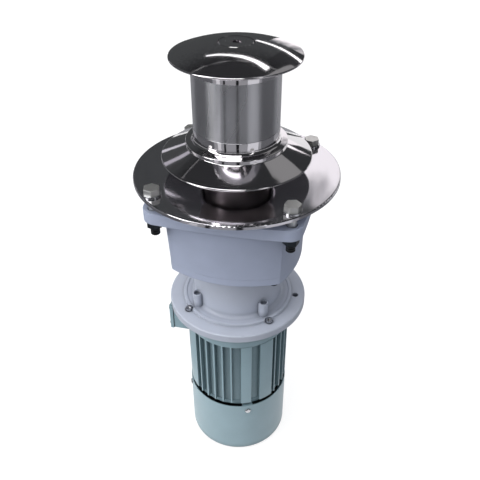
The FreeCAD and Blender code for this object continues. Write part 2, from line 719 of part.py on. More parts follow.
def input_housing():
    """The neck and the motor flange, one casting; its bosses and screws are on the diagonals."""
    piece = Piece("input_housing", "45")
    neck_foot = f"({FLANGE_TOP} + raised_ring_height)"
    piece.turn([
        ("neck_bore", COVER_BOTTOM), ("neck_bore", INPUT_RING_TOP),
        (INPUT_RING_SEAT, INPUT_RING_TOP), (INPUT_RING_SEAT, FLANGE_BOTTOM),
        ("flange_radius - flange_edge", FLANGE_BOTTOM),
        ("flange_radius", f"{FLANGE_BOTTOM} + flange_edge"),
        ("flange_radius", f"{FLANGE_TOP} - flange_edge", "flange_edge"),
        ("flange_radius - flange_edge", FLANGE_TOP), ("raised_ring_radius", FLANGE_TOP),
        ("raised_ring_radius - 1", neck_foot), ("raised_ring_inner", neck_foot),
        ("raised_ring_inner - 1", f"{neck_foot} - 1"),
        ("neck_radius + neck_cove", f"{neck_foot} - 1", "-neck_cove"),
        ("neck_radius", f"{neck_foot} - 1 + neck_cove"), ("neck_radius", COVER_BOTTOM)])
    boss_top = f"({FLANGE_TOP} + boss_height)"
    boss = piece.turn([("boss_circle", FLANGE_TOP), ("boss_circle + boss_radius", FLANGE_TOP),
                       ("boss_circle + boss_radius", f"{boss_top} - 1"),
                       ("boss_circle + boss_radius - 1", boss_top), ("boss_circle", boss_top)],
                      upright_at="boss_circle")
    recess = piece.drill("boss_circle + 1.5", "0", "boss_radius - 2.5", boss_top, "boss_recess")
    spot = piece.drill("flange_screw_circle", "0", "flange_screw_radius * 2", neck_foot,
                       "raised_ring_height + 1")
    hole = piece.drill("flange_screw_circle", "0", "flange_screw_radius", FLANGE_TOP,
                       "flange_thickness")
    piece.repeat(4, boss, recess, spot, hole)
    neck_screw = piece.drill(*polar(NECK_SCREW_CIRCLE, "15"), "neck_screw_radius", COVER_BOTTOM,
                             "neck_screw_depth")
    piece.repeat(6, neck_screw)
    piece.drill(*polar("spare_hole_circle", "-41"), "spare_hole_radius", FLANGE_TOP,
                "flange_thickness")


def shaft_column():
    """The fixed tube that carries the output shaft up inside the drum."""
    piece = Piece("shaft_column", "45")
    lip = "(main_bearing_radius - bearing_lip)"
    piece.turn([
        (lip, CASE_BEARING_TOP), ("main_bearing_radius", CASE_BEARING_TOP),
        ("main_bearing_radius", SLAB_TOP), ("column_flange", SLAB_TOP), ("column_flange", "0"),
        ("column_radius", "0"), ("column_radius", "column_top"),
        ("main_bearing_radius", "column_top"), ("main_bearing_radius", COLUMN_BEARING_BOTTOM),
        (lip, COLUMN_BEARING_BOTTOM)])
    sink = "(column_screw_radius * 2 + 1)"
    hole = piece.drill("column_screw_circle", "0", "column_screw_radius * 1.6", "0", sink)
    shank = piece.drill("column_screw_circle", "0", "column_screw_radius", "0", "deck_gap")
    piece.repeat(4, hole, shank)
    tapped = piece.drill(*polar("column_screw_circle", "45"), "plate_screw_radius", "0",
                         "deck_gap - 3")
    piece.repeat(4, tapped)


def housing_screws():
    socket_screws("column_screws", "column_screw_circle", "45", 4,
                  "(-(column_screw_radius * 2 + 1))", "(deck_gap + 4)", "column_screw_radius",
                  "(column_screw_radius * 1.6)", "(column_screw_radius * 2)")
    socket_screws("cover_screws", "(cover_screw_place * sqrt(2))", "45", 4, COVER_BOTTOM,
                  "(cover_thickness * 2.5)", "cover_screw_radius", "(cover_screw_radius * 1.6)",
                  "(cover_screw_radius * 2)", down=True)
    socket_screws("neck_screws", NECK_SCREW_CIRCLE, "0", 6, CASE_BOTTOM,
                  "(cover_thickness + neck_screw_depth)", "neck_screw_radius",
                  "(neck_screw_radius * 1.6)", "(neck_screw_radius * 1.6)")
    socket_screws("motor_flange_screws", "flange_screw_circle", "45", 4,
                  f"({FLANGE_TOP} - 1)", "(flange_thickness + shield_flange_thickness - 2)",
                  "flange_screw_radius", "(flange_screw_radius * 1.6)",
                  "(flange_screw_radius * 1.5)")


def shaft_seal(label, bore, outer, bottom, height):
    piece = Piece(label)
    bore = f"({bore} + running_gap)"
    groove = f"({bottom} + {height} * 0.6)"
    top = f"({bottom} + {height})"
    piece.turn([(bore, bottom), (outer, bottom), (outer, top), (f"{bore} + 4", top),
                (f"{bore} + 4", groove), (f"{bore} + 2", groove), (f"{bore} + 1", top),
                (bore, f"{top} - 1")])


def oil_plug():
    """The hexagon filler plug on the back of the case: its head stands on a spot face."""
    piece = Piece("oil_plug")
    head = piece.add("Pad", piece.profile("XZ_Plane", hexagon("0", "plug_across", PLUG_LEVEL),
                                          f"(-{PLUG_SEAT})"))
    bind(head, "Length", "plug_height")
    head.Reversed = True
    stem = piece.add("Pad", piece.disc("XZ_Plane", "0", PLUG_LEVEL, "plug_radius",
                                       f"(-{PLUG_SEAT})"))
    bind(stem, "Length", f"{PLUG_SEAT} - cavity_radius")


# ---------------------------------------------------------------------------------------------
# Output shaft, planets and ring
# ---------------------------------------------------------------------------------------------
def output_shaft():
    piece = Piece("output_shaft")
    collar = "(shaft_radius + 6)"
    collar_top = f"({CASE_BEARING_BOTTOM} - seat_gap)"
    end = "(drum_web_top - shaft_end_gap)"
    piece.turn([
        ("0", OUTPUT_CARRIER_BOTTOM), ("output_carrier_radius", OUTPUT_CARRIER_BOTTOM),
        ("output_carrier_radius", OUTPUT_CARRIER_TOP), (collar, OUTPUT_CARRIER_TOP),
        (collar, collar_top), ("shaft_radius", collar_top), ("shaft_radius", "hub_floor"),
        ("shaft_end_radius", "hub_floor"), ("shaft_end_radius", end), ("0", end)])
    piece.drill("0", "0", "cap_screw_radius", end, CAP_SCREW_IN_SHAFT)
    pin_hole = piece.drill(OUTPUT_PIN_CIRCLE, "0", "output_pin_radius", OUTPUT_CARRIER_TOP,
                           "output_carrier_thickness")
    piece.repeat(PLANETS, pin_hole)
    piece.carve(rectangle("shaft_end_radius - key_sink", "shaft_end_radius + 5",
                          "-key_width / 2", "key_width / 2"), end, KEY_LENGTH)


def planet_pins(label, circle, radius, carrier_top, gear_bottom):
    piece = Piece(label)
    seat = f"({gear_bottom} - 0.3)"
    head = f"({seat} - pin_head_height)"
    pin = piece.turn([
        (circle, head), (f"{circle} + {radius} + pin_head_rim", head),
        (f"{circle} + {radius} + pin_head_rim", seat), (f"{circle} + {radius}", seat),
        (f"{circle} + {radius}", carrier_top), (circle, carrier_top)], upright_at=circle)
    piece.repeat(PLANETS, pin)


def planets(label, teeth, module, bore, bottom, top, circle):
    """Planets in mesh with the sun's tooth on +X: each has a gap facing the sun."""
    turn = math.pi + math.pi / teeth
    shape = outside_gear(None, teeth, module, f"({bore} + running_gap)", bottom, top, circle, turn)
    for number in range(PLANETS):
        rolled_copy(shape, f"{label}_{number + 1}", 360 * number / PLANETS)


def output_stage():
    outside_gear("output_sun_gear", OUTPUT_SUN_TEETH, "output_module", "input_shaft_radius",
                 OUTPUT_GEAR_BOTTOM, OUTPUT_GEAR_TOP)
    planets("output_planet_gear", OUTPUT_PLANET_TEETH, "output_module", "output_pin_radius",
            OUTPUT_GEAR_BOTTOM, OUTPUT_GEAR_TOP, OUTPUT_PIN_CIRCLE)
    ring_gear("output_ring_gear", OUTPUT_RING_TEETH, "output_module", RING_SEAT, RING_BOTTOM,
              OUTPUT_GEAR_TOP)
    planet_pins("output_planet_pins", OUTPUT_PIN_CIRCLE, "output_pin_radius",
                OUTPUT_CARRIER_TOP, OUTPUT_GEAR_BOTTOM)


# ---------------------------------------------------------------------------------------------
# Input stage in the neck
# ---------------------------------------------------------------------------------------------
def input_carrier():
    piece = Piece("input_carrier")
    collar = "(input_shaft_radius + 4)"
    collar_top = f"({COVER_BOTTOM} + 1 - seat_gap)"
    piece.turn([
        ("0", INPUT_CARRIER_BOTTOM), ("input_carrier_radius", INPUT_CARRIER_BOTTOM),
        ("input_carrier_radius", INPUT_CARRIER_TOP), (collar, INPUT_CARRIER_TOP),
        (collar, collar_top), ("input_shaft_radius", collar_top),
        ("input_shaft_radius", OUTPUT_GEAR_TOP), ("0", OUTPUT_GEAR_TOP)])
    pin_hole = piece.drill(INPUT_PIN_CIRCLE, "0", "input_pin_radius", INPUT_CARRIER_TOP,
                           "input_carrier_thickness")
    piece.repeat(PLANETS, pin_hole)


def sun_spacer():
    """The sleeve that holds the output sun above its bearing."""
    Piece("sun_spacer").turn(ring("input_shaft_radius", "input_shaft_radius + 3",
                                  f"{WEB_BEARING_TOP} + 1 + seat_gap", OUTPUT_GEAR_BOTTOM))


def input_stage():
    shape = outside_gear(None, INPUT_SUN_TEETH, "input_module", "", INPUT_GEAR_BOTTOM, INPUT_GEAR_TOP)
    stem = Part.makeCylinder(value("pinion_stem"), value("pinion_grip + 8"),
                             Vector(0, 0, value(f"{INPUT_GEAR_BOTTOM} - 8 - pinion_grip")))
    rolled_copy(shape.fuse(stem), "input_sun_gear", 0)
    planets("input_planet_gear", INPUT_PLANET_TEETH, "input_module", "input_pin_radius",
            INPUT_GEAR_BOTTOM, INPUT_GEAR_TOP, INPUT_PIN_CIRCLE)
    half_pitch = math.pi / INPUT_RING_TEETH
    ring_gear("input_ring_gear", INPUT_RING_TEETH, "input_module", INPUT_RING_SEAT,
              INPUT_RING_BOTTOM, INPUT_RING_TOP, half_pitch)
    planet_pins("input_planet_pins", INPUT_PIN_CIRCLE, "input_pin_radius",
                INPUT_CARRIER_TOP, INPUT_GEAR_BOTTOM)


# ---------------------------------------------------------------------------------------------
# Drum, skirt and cap
# ---------------------------------------------------------------------------------------------
def drum_barrel():
    piece = Piece("drum_barrel")
    waist = "(drum_radius - drum_waist_step)"
    web_bottom = "(drum_web_top - drum_web_thickness)"
    piece.turn([
        ("drum_bore", "drum_foot"), ("drum_spigot", "drum_foot"), ("drum_spigot", "skirt_seat"),
        ("drum_radius", "skirt_seat"), ("drum_radius", "lower_band"),
        (waist, "lower_band + drum_waist_step"), (waist, "upper_band - drum_waist_step"),
        ("drum_radius", "upper_band"), ("drum_radius", "drum_top"), ("drum_bore", "drum_top"),
        ("drum_bore", "drum_web_top"), ("shaft_end_radius", "drum_web_top"),
        ("shaft_end_radius", "hub_floor"), ("hub_radius", "hub_floor"),
        ("hub_radius", web_bottom), ("drum_bore", web_bottom)])
    piece.carve(rectangle("shaft_end_radius - 5", KEY_OUTER, "-key_width / 2", "key_width / 2"),
                "drum_web_top", "drum_web_top - hub_floor")


def drum_key():
    Piece("drum_key").raise_up(
        rectangle("shaft_end_radius - key_sink", KEY_OUTER, "-key_width / 2", "key_width / 2"),
        f"(drum_web_top - shaft_end_gap - {KEY_LENGTH})", KEY_LENGTH)


def drum_skirt():
    piece = Piece("drum_skirt")
    rim_inner = "(skirt_radius - skirt_thickness / 2)"
    hub = "(drum_spigot + 6)"
    under = "(skirt_thickness * 1.2)"
    piece.turn([
        ("drum_spigot", "drum_foot"), (hub, "drum_foot"),
        (rim_inner, "skirt_rim - skirt_thickness / 4"),
        ("skirt_radius", "skirt_rim", "skirt_thickness / 2"),
        (rim_inner, f"skirt_rim + {under} / 2"),
        ("bead_radius", "bead_height - bead_drop"), ("bead_radius", "bead_height + 1", "1.5"),
        ("bead_radius - 1.5", "bead_height + 2.5"),
        ("drum_radius + skirt_cove", "skirt_seat - skirt_cove", "-skirt_cove"),
        ("drum_radius", "skirt_seat"), ("drum_spigot", "skirt_seat")])


def drum_cap():
    piece = Piece("drum_cap")
    seat = "(cap_washer_radius + cap_washer_gap)"
    floor = f"({WASHER_TOP} - cap_washer_thickness)"
    lip_inner = "(drum_bore - cap_lip_wall)"
    inside = "(drum_top + cap_recess)"
    piece.turn([
        ("cap_screw_radius + 0.5", "drum_web_top"), ("cap_boss", "drum_web_top"),
        ("cap_boss", inside), (lip_inner, inside), (lip_inner, "drum_top - cap_lip"),
        ("drum_bore", "drum_top - cap_lip"), ("drum_bore", "drum_top"),
        ("drum_radius + 3", "drum_top"), ("cap_radius - 1", "cap_rim - cap_rim_thickness"),
        ("cap_radius", "cap_rim - cap_rim_thickness / 2"), ("cap_radius", "cap_rim", CAP_SPHERE),
        (seat, f"{CAP_APEX} - {CAP_SPHERE} + sqrt({CAP_SPHERE} * {CAP_SPHERE} - {seat} * {seat})"),
        (seat, floor), ("cap_screw_radius + 0.5", floor)])


def cap_fastening():
    washer = Piece("cap_washer")
    floor = f"({WASHER_TOP} - cap_washer_thickness)"
    washer.turn([
        ("cap_screw_radius + 0.5", floor), ("cap_washer_radius", floor),
        ("cap_washer_radius", f"{WASHER_TOP} - 0.4"), ("cap_washer_radius - 0.4", WASHER_TOP),
        ("cap_screw_radius * 2", WASHER_TOP),
        ("cap_screw_radius + 0.5", f"{WASHER_TOP} - cap_screw_radius + 0.5")])
    screw = Piece("cap_screw")
    screw.turn([
        ("0", f"{WASHER_TOP} - cap_screw_length"),
        ("cap_screw_radius", f"{WASHER_TOP} - cap_screw_length"),
        ("cap_screw_radius", f"{WASHER_TOP} - cap_screw_radius"),
        ("cap_screw_radius * 2 - 0.1", WASHER_TOP), ("0", WASHER_TOP)])
    screw.carve(hexagon("0", "cap_socket"), WASHER_TOP, "cap_screw_radius * 0.8")


# ---------------------------------------------------------------------------------------------
# Motor
# ---------------------------------------------------------------------------------------------
def motor_end_shield():
    """The flange end of the motor: its spigot centres it in the neck."""
    piece = Piece("motor_end_shield", "45")
    lip_inner = "(frame_bore - lip_wall)"
    lip_end = f"({SHIELD_BOTTOM} - lip_height)"
    roof = f"({FLANGE_BOTTOM} - shield_wall)"
    piece.turn([
        (lip_inner, lip_end), ("frame_bore", lip_end), ("frame_bore", SHIELD_BOTTOM),
        ("shield_ring_radius", SHIELD_BOTTOM), ("shield_ring_radius", SHIELD_FLANGE_BOTTOM),
        ("shield_flange_radius", SHIELD_FLANGE_BOTTOM), ("shield_flange_radius", FLANGE_BOTTOM),
        (INPUT_RING_SEAT, FLANGE_BOTTOM), (INPUT_RING_SEAT, SPIGOT_TOP),
        ("small_bearing_radius", SPIGOT_TOP), ("small_bearing_radius", MOTOR_BEARING_BOTTOM),
        ("small_bearing_radius - 3", MOTOR_BEARING_BOTTOM), ("small_bearing_radius - 3", roof),
        (lip_inner, roof)])
    hole = piece.drill("flange_screw_circle", "0", "flange_screw_radius", FLANGE_BOTTOM,
                       "shield_flange_thickness")
    piece.repeat(4, hole)


def rib_plan(angle, inner, outer, width):
    """A thin rectangle that stands out radially at an angle."""
    corners = []
    for radius, side in ((inner, -1), (outer, -1), (outer, 1), (inner, 1)):
        half = f"({side}) * {width} / 2"
        corners.append((f"{radius} * cos({angle}) - {half} * sin({angle})",
                        f"{radius} * sin({angle}) + {half} * cos({angle})"))
    return corners


FIN_PITCH = 10                       # degrees
FIN_GROUPS = ((-30, 6), (-125, 5), (75, 5))
PLAIN_PANELS = ((-170, -133), (123, 160))
FOOT_PADS = ((-52, -35), (25, 42))
LONG_PADS = ((-74, -62), (52, 64))


def motor_frame():
    piece = Piece("motor_frame")
    root = "(frame_radius - 1)"
    piece.turn(ring("frame_bore", "frame_radius", FRAME_BOTTOM, SHIELD_BOTTOM))
    for first, count in FIN_GROUPS:
        fin = piece.raise_up(rib_plan(f"({first})", root, "fin_tip", "fin_width"), FRAME_BOTTOM,
                             "frame_length")
        piece.repeat(count, fin, angle=str(FIN_PITCH * (count - 1)))
    for first, last in PLAIN_PANELS:
        piece.raise_up(sector(root, "panel_radius", f"({first})", f"({last})"), FRAME_BOTTOM,
                       "frame_length")
    for first, last in FOOT_PADS + LONG_PADS:
        piece.raise_up(sector(root, "pad_radius", f"({first})", f"({last})"), FRAME_BOTTOM,
                       "frame_length")
    piece.raise_up(sector(root, "shield_ring_radius", "166", "194"), BOX_BOTTOM,
                   f"{SHIELD_BOTTOM} - {BOX_BOTTOM}")


def motor_core():
    Piece("stator_core").turn(ring("rotor_radius + air_gap", "frame_bore", CORE_BOTTOM, CORE_TOP))
    windings = Piece("stator_windings")
    for bottom, top in ((CORE_TOP, f"{CORE_TOP} + winding_height"),
                        (f"{CORE_BOTTOM} - winding_height", CORE_BOTTOM)):
        windings.turn(ring("winding_inner", "winding_outer", bottom, top))
    rotor = Piece("rotor_core")
    rotor.turn(ring("rotor_shaft_radius", "rotor_radius", CORE_BOTTOM, CORE_TOP))
    rotor.turn(ring("rotor_radius * 0.6", "rotor_radius * 0.9", f"{CORE_BOTTOM} - 6",
                    f"{CORE_TOP} + 6"))


def motor_shaft():
    piece = Piece("motor_shaft")
    end = f"({FAN_BOTTOM} + 2)"
    top = f"({INPUT_GEAR_BOTTOM} - 8)"
    fan_shoulder = f"({END_BEARING_BOTTOM} - 2)"
    lower_shoulder = f"({END_BEARING_TOP} + seat_gap)"
    upper_shoulder = f"({MOTOR_BEARING_BOTTOM} - seat_gap)"
    grip_end = f"({top} - pinion_grip)"
    piece.turn([
        ("0", end), ("fan_shaft_radius", end), ("fan_shaft_radius", fan_shoulder),
        ("input_shaft_radius", fan_shoulder), ("input_shaft_radius", lower_shoulder),
        ("rotor_shaft_radius", lower_shoulder), ("rotor_shaft_radius", upper_shoulder),
        ("input_shaft_radius", upper_shoulder), ("input_shaft_radius", top),
        ("pinion_stem", top), ("pinion_stem", grip_end), ("0", grip_end)])


def fan_end_shield():
    """The lower end of the motor: it carries the bearing and the lugs that hold the cowl."""
    piece = Piece("fan_end_shield", COWL_SCREW_ANGLE)
    lip_inner = "(frame_bore - lip_wall)"
    hub = "(small_bearing_radius + end_hub_wall)"
    hub_end = f"({END_BEARING_BOTTOM} - 2)"
    piece.turn([
        ("small_bearing_radius - 3", hub_end), (hub, hub_end), (hub, END_SHIELD_BOTTOM),
        (END_SHIELD_RADIUS, END_SHIELD_BOTTOM), (END_SHIELD_RADIUS, FRAME_BOTTOM),
        ("frame_bore", FRAME_BOTTOM), ("frame_bore", f"{FRAME_BOTTOM} + lip_height"),
        (lip_inner, f"{FRAME_BOTTOM} + lip_height"), (lip_inner, FRAME_BOTTOM),
        ("small_bearing_radius", FRAME_BOTTOM), ("small_bearing_radius", END_BEARING_BOTTOM),
        ("small_bearing_radius - 3", END_BEARING_BOTTOM)])
    half = "(lug_width / 2 / cowl_radius * 57.3)"
    lug = piece.raise_up(
        sector(f"({END_SHIELD_RADIUS} - 9)", COWL_INNER, f"(-{half})", half),
        f"({END_SHIELD_BOTTOM} - lug_height)", "lug_height + 1")
    hole = piece.turn(bar(f"({END_SHIELD_RADIUS} - 12)", COWL_INNER, "cowl_screw_radius"), cut=True,
                      level_at=COWL_SCREW_LEVEL)
    piece.repeat(4, lug, hole)


def bar(start, stop, radius):
    """The half outline of a round bar along X at the cowl screws' level."""
    crest = f"({COWL_SCREW_LEVEL} + {radius})"
    return [(start, COWL_SCREW_LEVEL), (stop, COWL_SCREW_LEVEL), (stop, crest), (start, crest)]


def fan_cowl():
    piece = Piece("fan_cowl", COWL_SCREW_ANGLE)
    round_start = f"({COWL_BOTTOM} + cowl_round)"
    flat = "(cowl_radius - cowl_round)"
    piece.turn([
        ("0", COWL_BOTTOM), (flat, COWL_BOTTOM, "cowl_round"), ("cowl_radius", round_start),
        ("cowl_radius", COWL_TOP), (COWL_INNER, COWL_TOP),
        (COWL_INNER, round_start, "-(cowl_round - cowl_sheet)"),
        (flat, f"{COWL_BOTTOM} + cowl_sheet"), ("0", f"{COWL_BOTTOM} + cowl_sheet")])
    for inner, outer in ((14, 22), (28, 36), (42, 50)):
        slot = piece.carve(sector(f"(cowl_radius * {inner} / 77)", f"(cowl_radius * {outer} / 77)",
                                  "6", "39"), f"{COWL_BOTTOM} + cowl_sheet + 1",
                           "cowl_sheet + 2")
        piece.repeat(8, slot)
    hole = piece.turn(bar(f"({COWL_INNER} - 2)", "cowl_radius + 1", "cowl_screw_radius"),
                      cut=True, level_at=COWL_SCREW_LEVEL)
    piece.repeat(4, hole)


def cowl_screws():
    piece = Piece("cowl_screws", COWL_SCREW_ANGLE)
    head = "(cowl_screw_radius * 1.8)"
    shank_crest = f"({COWL_SCREW_LEVEL} + cowl_screw_radius)"
    head_crest = f"({COWL_SCREW_LEVEL} + {head})"
    screw = piece.turn([
        (f"({END_SHIELD_RADIUS} - 7)", COWL_SCREW_LEVEL), ("cowl_radius + 2", COWL_SCREW_LEVEL),
        ("cowl_radius + 2", f"{head_crest} - 1.2"), ("cowl_radius + 0.8", head_crest),
        ("cowl_radius + 0.02", head_crest), ("cowl_radius + 0.02", shank_crest),
        (f"({END_SHIELD_RADIUS} - 7)", shank_crest)], level_at=COWL_SCREW_LEVEL)
    piece.repeat(4, screw)


def cooling_fan():
    piece = Piece("cooling_fan")
    piece.turn(ring("fan_shaft_radius", "fan_hub_radius", FAN_BOTTOM, FAN_TOP))
    piece.turn(ring("fan_hub_radius - 1", "fan_radius", f"{FAN_TOP} - fan_plate", FAN_TOP))
    blade = piece.raise_up(
        rectangle("fan_hub_radius - 1", "fan_radius - 2", "-fan_blade / 2", "fan_blade / 2"),
        FAN_BOTTOM, "fan_height - fan_plate + 1")
    piece.repeat(8, blade)


# ---------------------------------------------------------------------------------------------
# Terminal box on the motor's -X side
# ---------------------------------------------------------------------------------------------
def block(name, low, size):
    """A Part box from the expressions of its low corner and its size."""
    box = doc.addObject("Part::Box", name)
    for prop, text in zip(("Length", "Width", "Height"), size):
        bind(box, prop, text)
    for prop, text in zip(("x", "y", "z"), low):
        bind(box, "Placement.Base." + prop, text)
    return box


def rod(name, axis, radius, length, low):
    """A Part cylinder along Z, or along +X when the axis says so."""
    cylinder = doc.addObject("Part::Cylinder", name)
    bind(cylinder, "Radius", radius)
    bind(cylinder, "Height", length)
    for prop, text in zip(("x", "y", "z"), low):
        bind(cylinder, "Placement.Base." + prop, text)
    if axis == "X":
        cylinder.Placement = Placement(Vector(), Rotation(Vector(0, 1, 0), 90))
        for prop, text in zip(("x", "y", "z"), low):
            bind(cylinder, "Placement.Base." + prop, text)
    return cylinder


def less(label, base, *tools):
    """A Part cut whose tools are fused first where there are several."""
    tool = tools[0]
    if len(tools) > 1:
        tool = doc.addObject("Part::MultiFuse", label + "_tools")
        tool.Shapes = list(tools)
    cut = doc.addObject("Part::Cut", label)
    cut.Label = label
    cut.Base = base
    cut.Tool = tool


def corner_places():
    """The four screws of the lid, as (across, height) expressions."""
    across = "(box_half_width - lid_screw_inset)"
    for side in ("-1", "1"):
        for level in (f"({BOX_TOP} - lid_screw_inset)", f"({BOX_BOTTOM} + lid_screw_inset)"):
            yield f"(({side}) * {across})", level


GLAND_PLACE = f"(-({BOX_REACH} - gland_radius + 1))"
LID_FACE = f"(-({BOX_REACH} + gasket_thickness + lid_thickness))"


def terminal_box():
    width = "(2 * box_half_width)"
    start = f"(-{BOX_REACH})"
    outer = block("box_outer", (start, "-box_half_width", BOX_BOTTOM),
                  (f"{BOX_REACH} - frame_bore", width, "box_height"))
    room = block("box_room", (start, "-(box_half_width - box_wall)", f"{BOX_BOTTOM} + box_wall"),
                 ("box_depth", f"{width} - 2 * box_wall", "box_height - 2 * box_wall"))
    motor = rod("box_motor", "Z", "shield_ring_radius", "box_height + 2",
                ("0", "0", f"{BOX_BOTTOM} - 1"))
    entry = rod("box_entry", "Z", "gland_bore", "box_wall + 2",
                (GLAND_PLACE, "0", f"{BOX_BOTTOM} - 1"))
    less("terminal_box", outer, room, motor, entry)


def lid_parts():
    low = (f"(-({BOX_REACH} + gasket_thickness))", "-box_half_width", BOX_BOTTOM)
    gasket = block("gasket_outer", low, ("gasket_thickness", "2 * box_half_width", "box_height"))
    window = block("gasket_window",
                   (low[0], "-(box_half_width - box_wall)", f"{BOX_BOTTOM} + box_wall"),
                   ("gasket_thickness", "2 * (box_half_width - box_wall)",
                    "box_height - 2 * box_wall"))
    less("terminal_box_gasket", gasket, window)
    lid = block("lid_outer", (LID_FACE, "-(box_half_width + lid_overhang)",
                              f"{BOX_BOTTOM} - lid_overhang"),
                ("lid_thickness", "2 * (box_half_width + lid_overhang)",
                 "box_height + 2 * lid_overhang"))
    holes = [rod("lid_hole", "X", "lid_screw_radius", "lid_thickness", (LID_FACE, across, level))
             for across, level in corner_places()]
    less("terminal_box_lid", lid, *holes)
    screws = doc.addObject("Part::MultiFuse", "terminal_box_screws")
    screws.Label = "terminal_box_screws"
    parts = []
    for across, level in corner_places():
        parts.append(rod("lid_screw", "X", "lid_screw_radius", "lid_thickness",
                         (LID_FACE, across, level)))
        parts.append(rod("lid_screw_head", "X", "lid_screw_radius * 1.8", "lid_screw_radius",
                         (f"{LID_FACE} - lid_screw_radius", across, level)))
    screws.Shapes = parts


def terminal_board():
    floor = f"(-{BOX_FLOOR})"
    middle = f"(({BOX_TOP} + {BOX_BOTTOM}) / 2)"
    board = block("terminal_board", (f"{floor} - board_thickness", "-board_half_width",
                                     f"{middle} - board_half_width / 2"),
                  ("board_thickness", "2 * board_half_width", "board_half_width"))
    board.Label = "terminal_board"
    studs = doc.addObject("Part::MultiFuse", "terminal_studs")
    studs.Label = "terminal_studs"
    face = f"({floor} - board_thickness - stud_length)"
    studs.Shapes = [
        rod("stud", "X", "stud_radius", "stud_length",
            (face, f"board_half_width * ({column}) * 0.6",
             f"{middle} + board_half_width * ({row}) * 0.25"))
        for column in (-1, 0, 1) for row in (-1, 1)]


def cable_gland():
    piece = Piece("cable_gland")
    end = f"({BOX_BOTTOM} - gland_length)"
    nut = f"({BOX_BOTTOM} - gland_length / 2)"
    piece.turn([
        (f"{GLAND_PLACE} + gland_bore", end), (f"{GLAND_PLACE} + gland_radius - 2", end),
        (f"{GLAND_PLACE} + gland_radius", f"{end} + 2"), (f"{GLAND_PLACE} + gland_radius", nut),
        (f"{GLAND_PLACE} + gland_radius - 1", nut),
        (f"{GLAND_PLACE} + gland_radius - 1", BOX_BOTTOM),
        (f"{GLAND_PLACE} + gland_bore", BOX_BOTTOM)], upright_at=GLAND_PLACE)


# ---------------------------------------------------------------------------------------------
# Build, check and write every sub-part
# ---------------------------------------------------------------------------------------------
for make in (deck_plate, deck_plate_screws, deck_bolts, gearbox_case, case_cover, input_housing,
             shaft_column, housing_screws, oil_plug, output_shaft, output_stage, input_carrier,
             sun_spacer, input_stage, drum_barrel, drum_key, drum_skirt, drum_cap, cap_fastening,
             motor_end_shield, motor_frame, motor_core, motor_shaft, fan_end_shield, fan_cowl,
             cowl_screws, cooling_fan, terminal_box, lid_parts, terminal_board, cable_gland):
    make()

bearing("case_bearing", "shaft_radius", "main_bearing_radius", CASE_BEARING_BOTTOM,
        "main_bearing_width")
bearing("column_bearing", "shaft_radius", "main_bearing_radius", COLUMN_BEARING_BOTTOM,
        "main_bearing_width")
bearing("cover_bearing", "input_shaft_radius", "small_bearing_radius", f"({COVER_BOTTOM} + 1)",
        "small_bearing_width")
bearing("motor_drive_bearing", "input_shaft_radius", "small_bearing_radius",
        MOTOR_BEARING_BOTTOM, "small_bearing_width")
bearing("motor_fan_bearing", "input_shaft_radius", "small_bearing_radius", END_BEARING_BOTTOM,
        "small_bearing_width")
shaft_seal("shaft_seal", "shaft_radius", "main_bearing_radius", SEAL_BOTTOM, "seal_height")
shaft_seal("motor_seal", "input_shaft_radius", "small_bearing_radius", MOTOR_BEARING_TOP,
           "motor_seal_height")

doc.recompute()
inner = {tool for item in doc.Objects for tool in item.OutList if item.TypeId in
         ("Part::Cut", "Part::MultiFuse")}
faulty = [item.Label for item in doc.Objects if {"Invalid", "Error"} & set(item.State)]
if faulty:
    raise ValueError("these objects failed: " + ", ".join(faulty))
pieces = [item for item in doc.Objects if item not in inner and item.TypeId in
          ("PartDesign::Body", "Part::Feature", "Part::Cut", "Part::MultiFuse", "Part::Box")]
for item in pieces:
    if item.Shape.isNull() or not item.Shape.isValid():
        raise ValueError(item.Label + " has no valid shape")
    item.Shape.exportStep(f"parts/{item.Label}.step")
print(len(pieces), "pieces written")
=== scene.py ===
# %%
# Deck capstan: materials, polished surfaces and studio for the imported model
import json
import math

import bpy
import numpy as np
from mathutils import Matrix, Vector


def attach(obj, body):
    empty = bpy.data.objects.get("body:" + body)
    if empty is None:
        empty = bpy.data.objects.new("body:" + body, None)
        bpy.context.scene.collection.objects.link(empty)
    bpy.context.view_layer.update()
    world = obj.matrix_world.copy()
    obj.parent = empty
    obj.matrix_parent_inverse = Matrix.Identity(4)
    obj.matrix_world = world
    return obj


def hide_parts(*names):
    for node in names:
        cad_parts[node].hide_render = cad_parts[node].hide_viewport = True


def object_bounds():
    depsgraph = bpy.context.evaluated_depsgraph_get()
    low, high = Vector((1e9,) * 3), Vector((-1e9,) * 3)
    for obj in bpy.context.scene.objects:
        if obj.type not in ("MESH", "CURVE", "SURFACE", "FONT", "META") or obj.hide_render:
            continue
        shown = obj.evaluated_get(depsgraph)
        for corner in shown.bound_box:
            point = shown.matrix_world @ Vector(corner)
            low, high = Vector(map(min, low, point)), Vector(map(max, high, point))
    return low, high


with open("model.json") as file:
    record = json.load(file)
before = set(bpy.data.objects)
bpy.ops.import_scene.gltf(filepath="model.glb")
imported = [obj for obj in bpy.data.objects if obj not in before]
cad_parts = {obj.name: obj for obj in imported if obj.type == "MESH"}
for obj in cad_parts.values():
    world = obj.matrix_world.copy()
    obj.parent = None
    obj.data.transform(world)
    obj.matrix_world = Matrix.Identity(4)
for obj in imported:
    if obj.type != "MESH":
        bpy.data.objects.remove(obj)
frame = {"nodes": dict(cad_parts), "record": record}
cad_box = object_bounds()
print("CAD box in mm:", [[round(1000 * x, 1) for x in corner] for corner in cad_box])

# %% [markdown]
# Helpers come first. Colours are written as sRGB hex and turned to linear light by one function,
# and one function adds every shader node. All lengths in the code are millimetres, turned to
# metres by MM.

# %%
# Helpers for colours and shader nodes
MM = 0.001
made = []


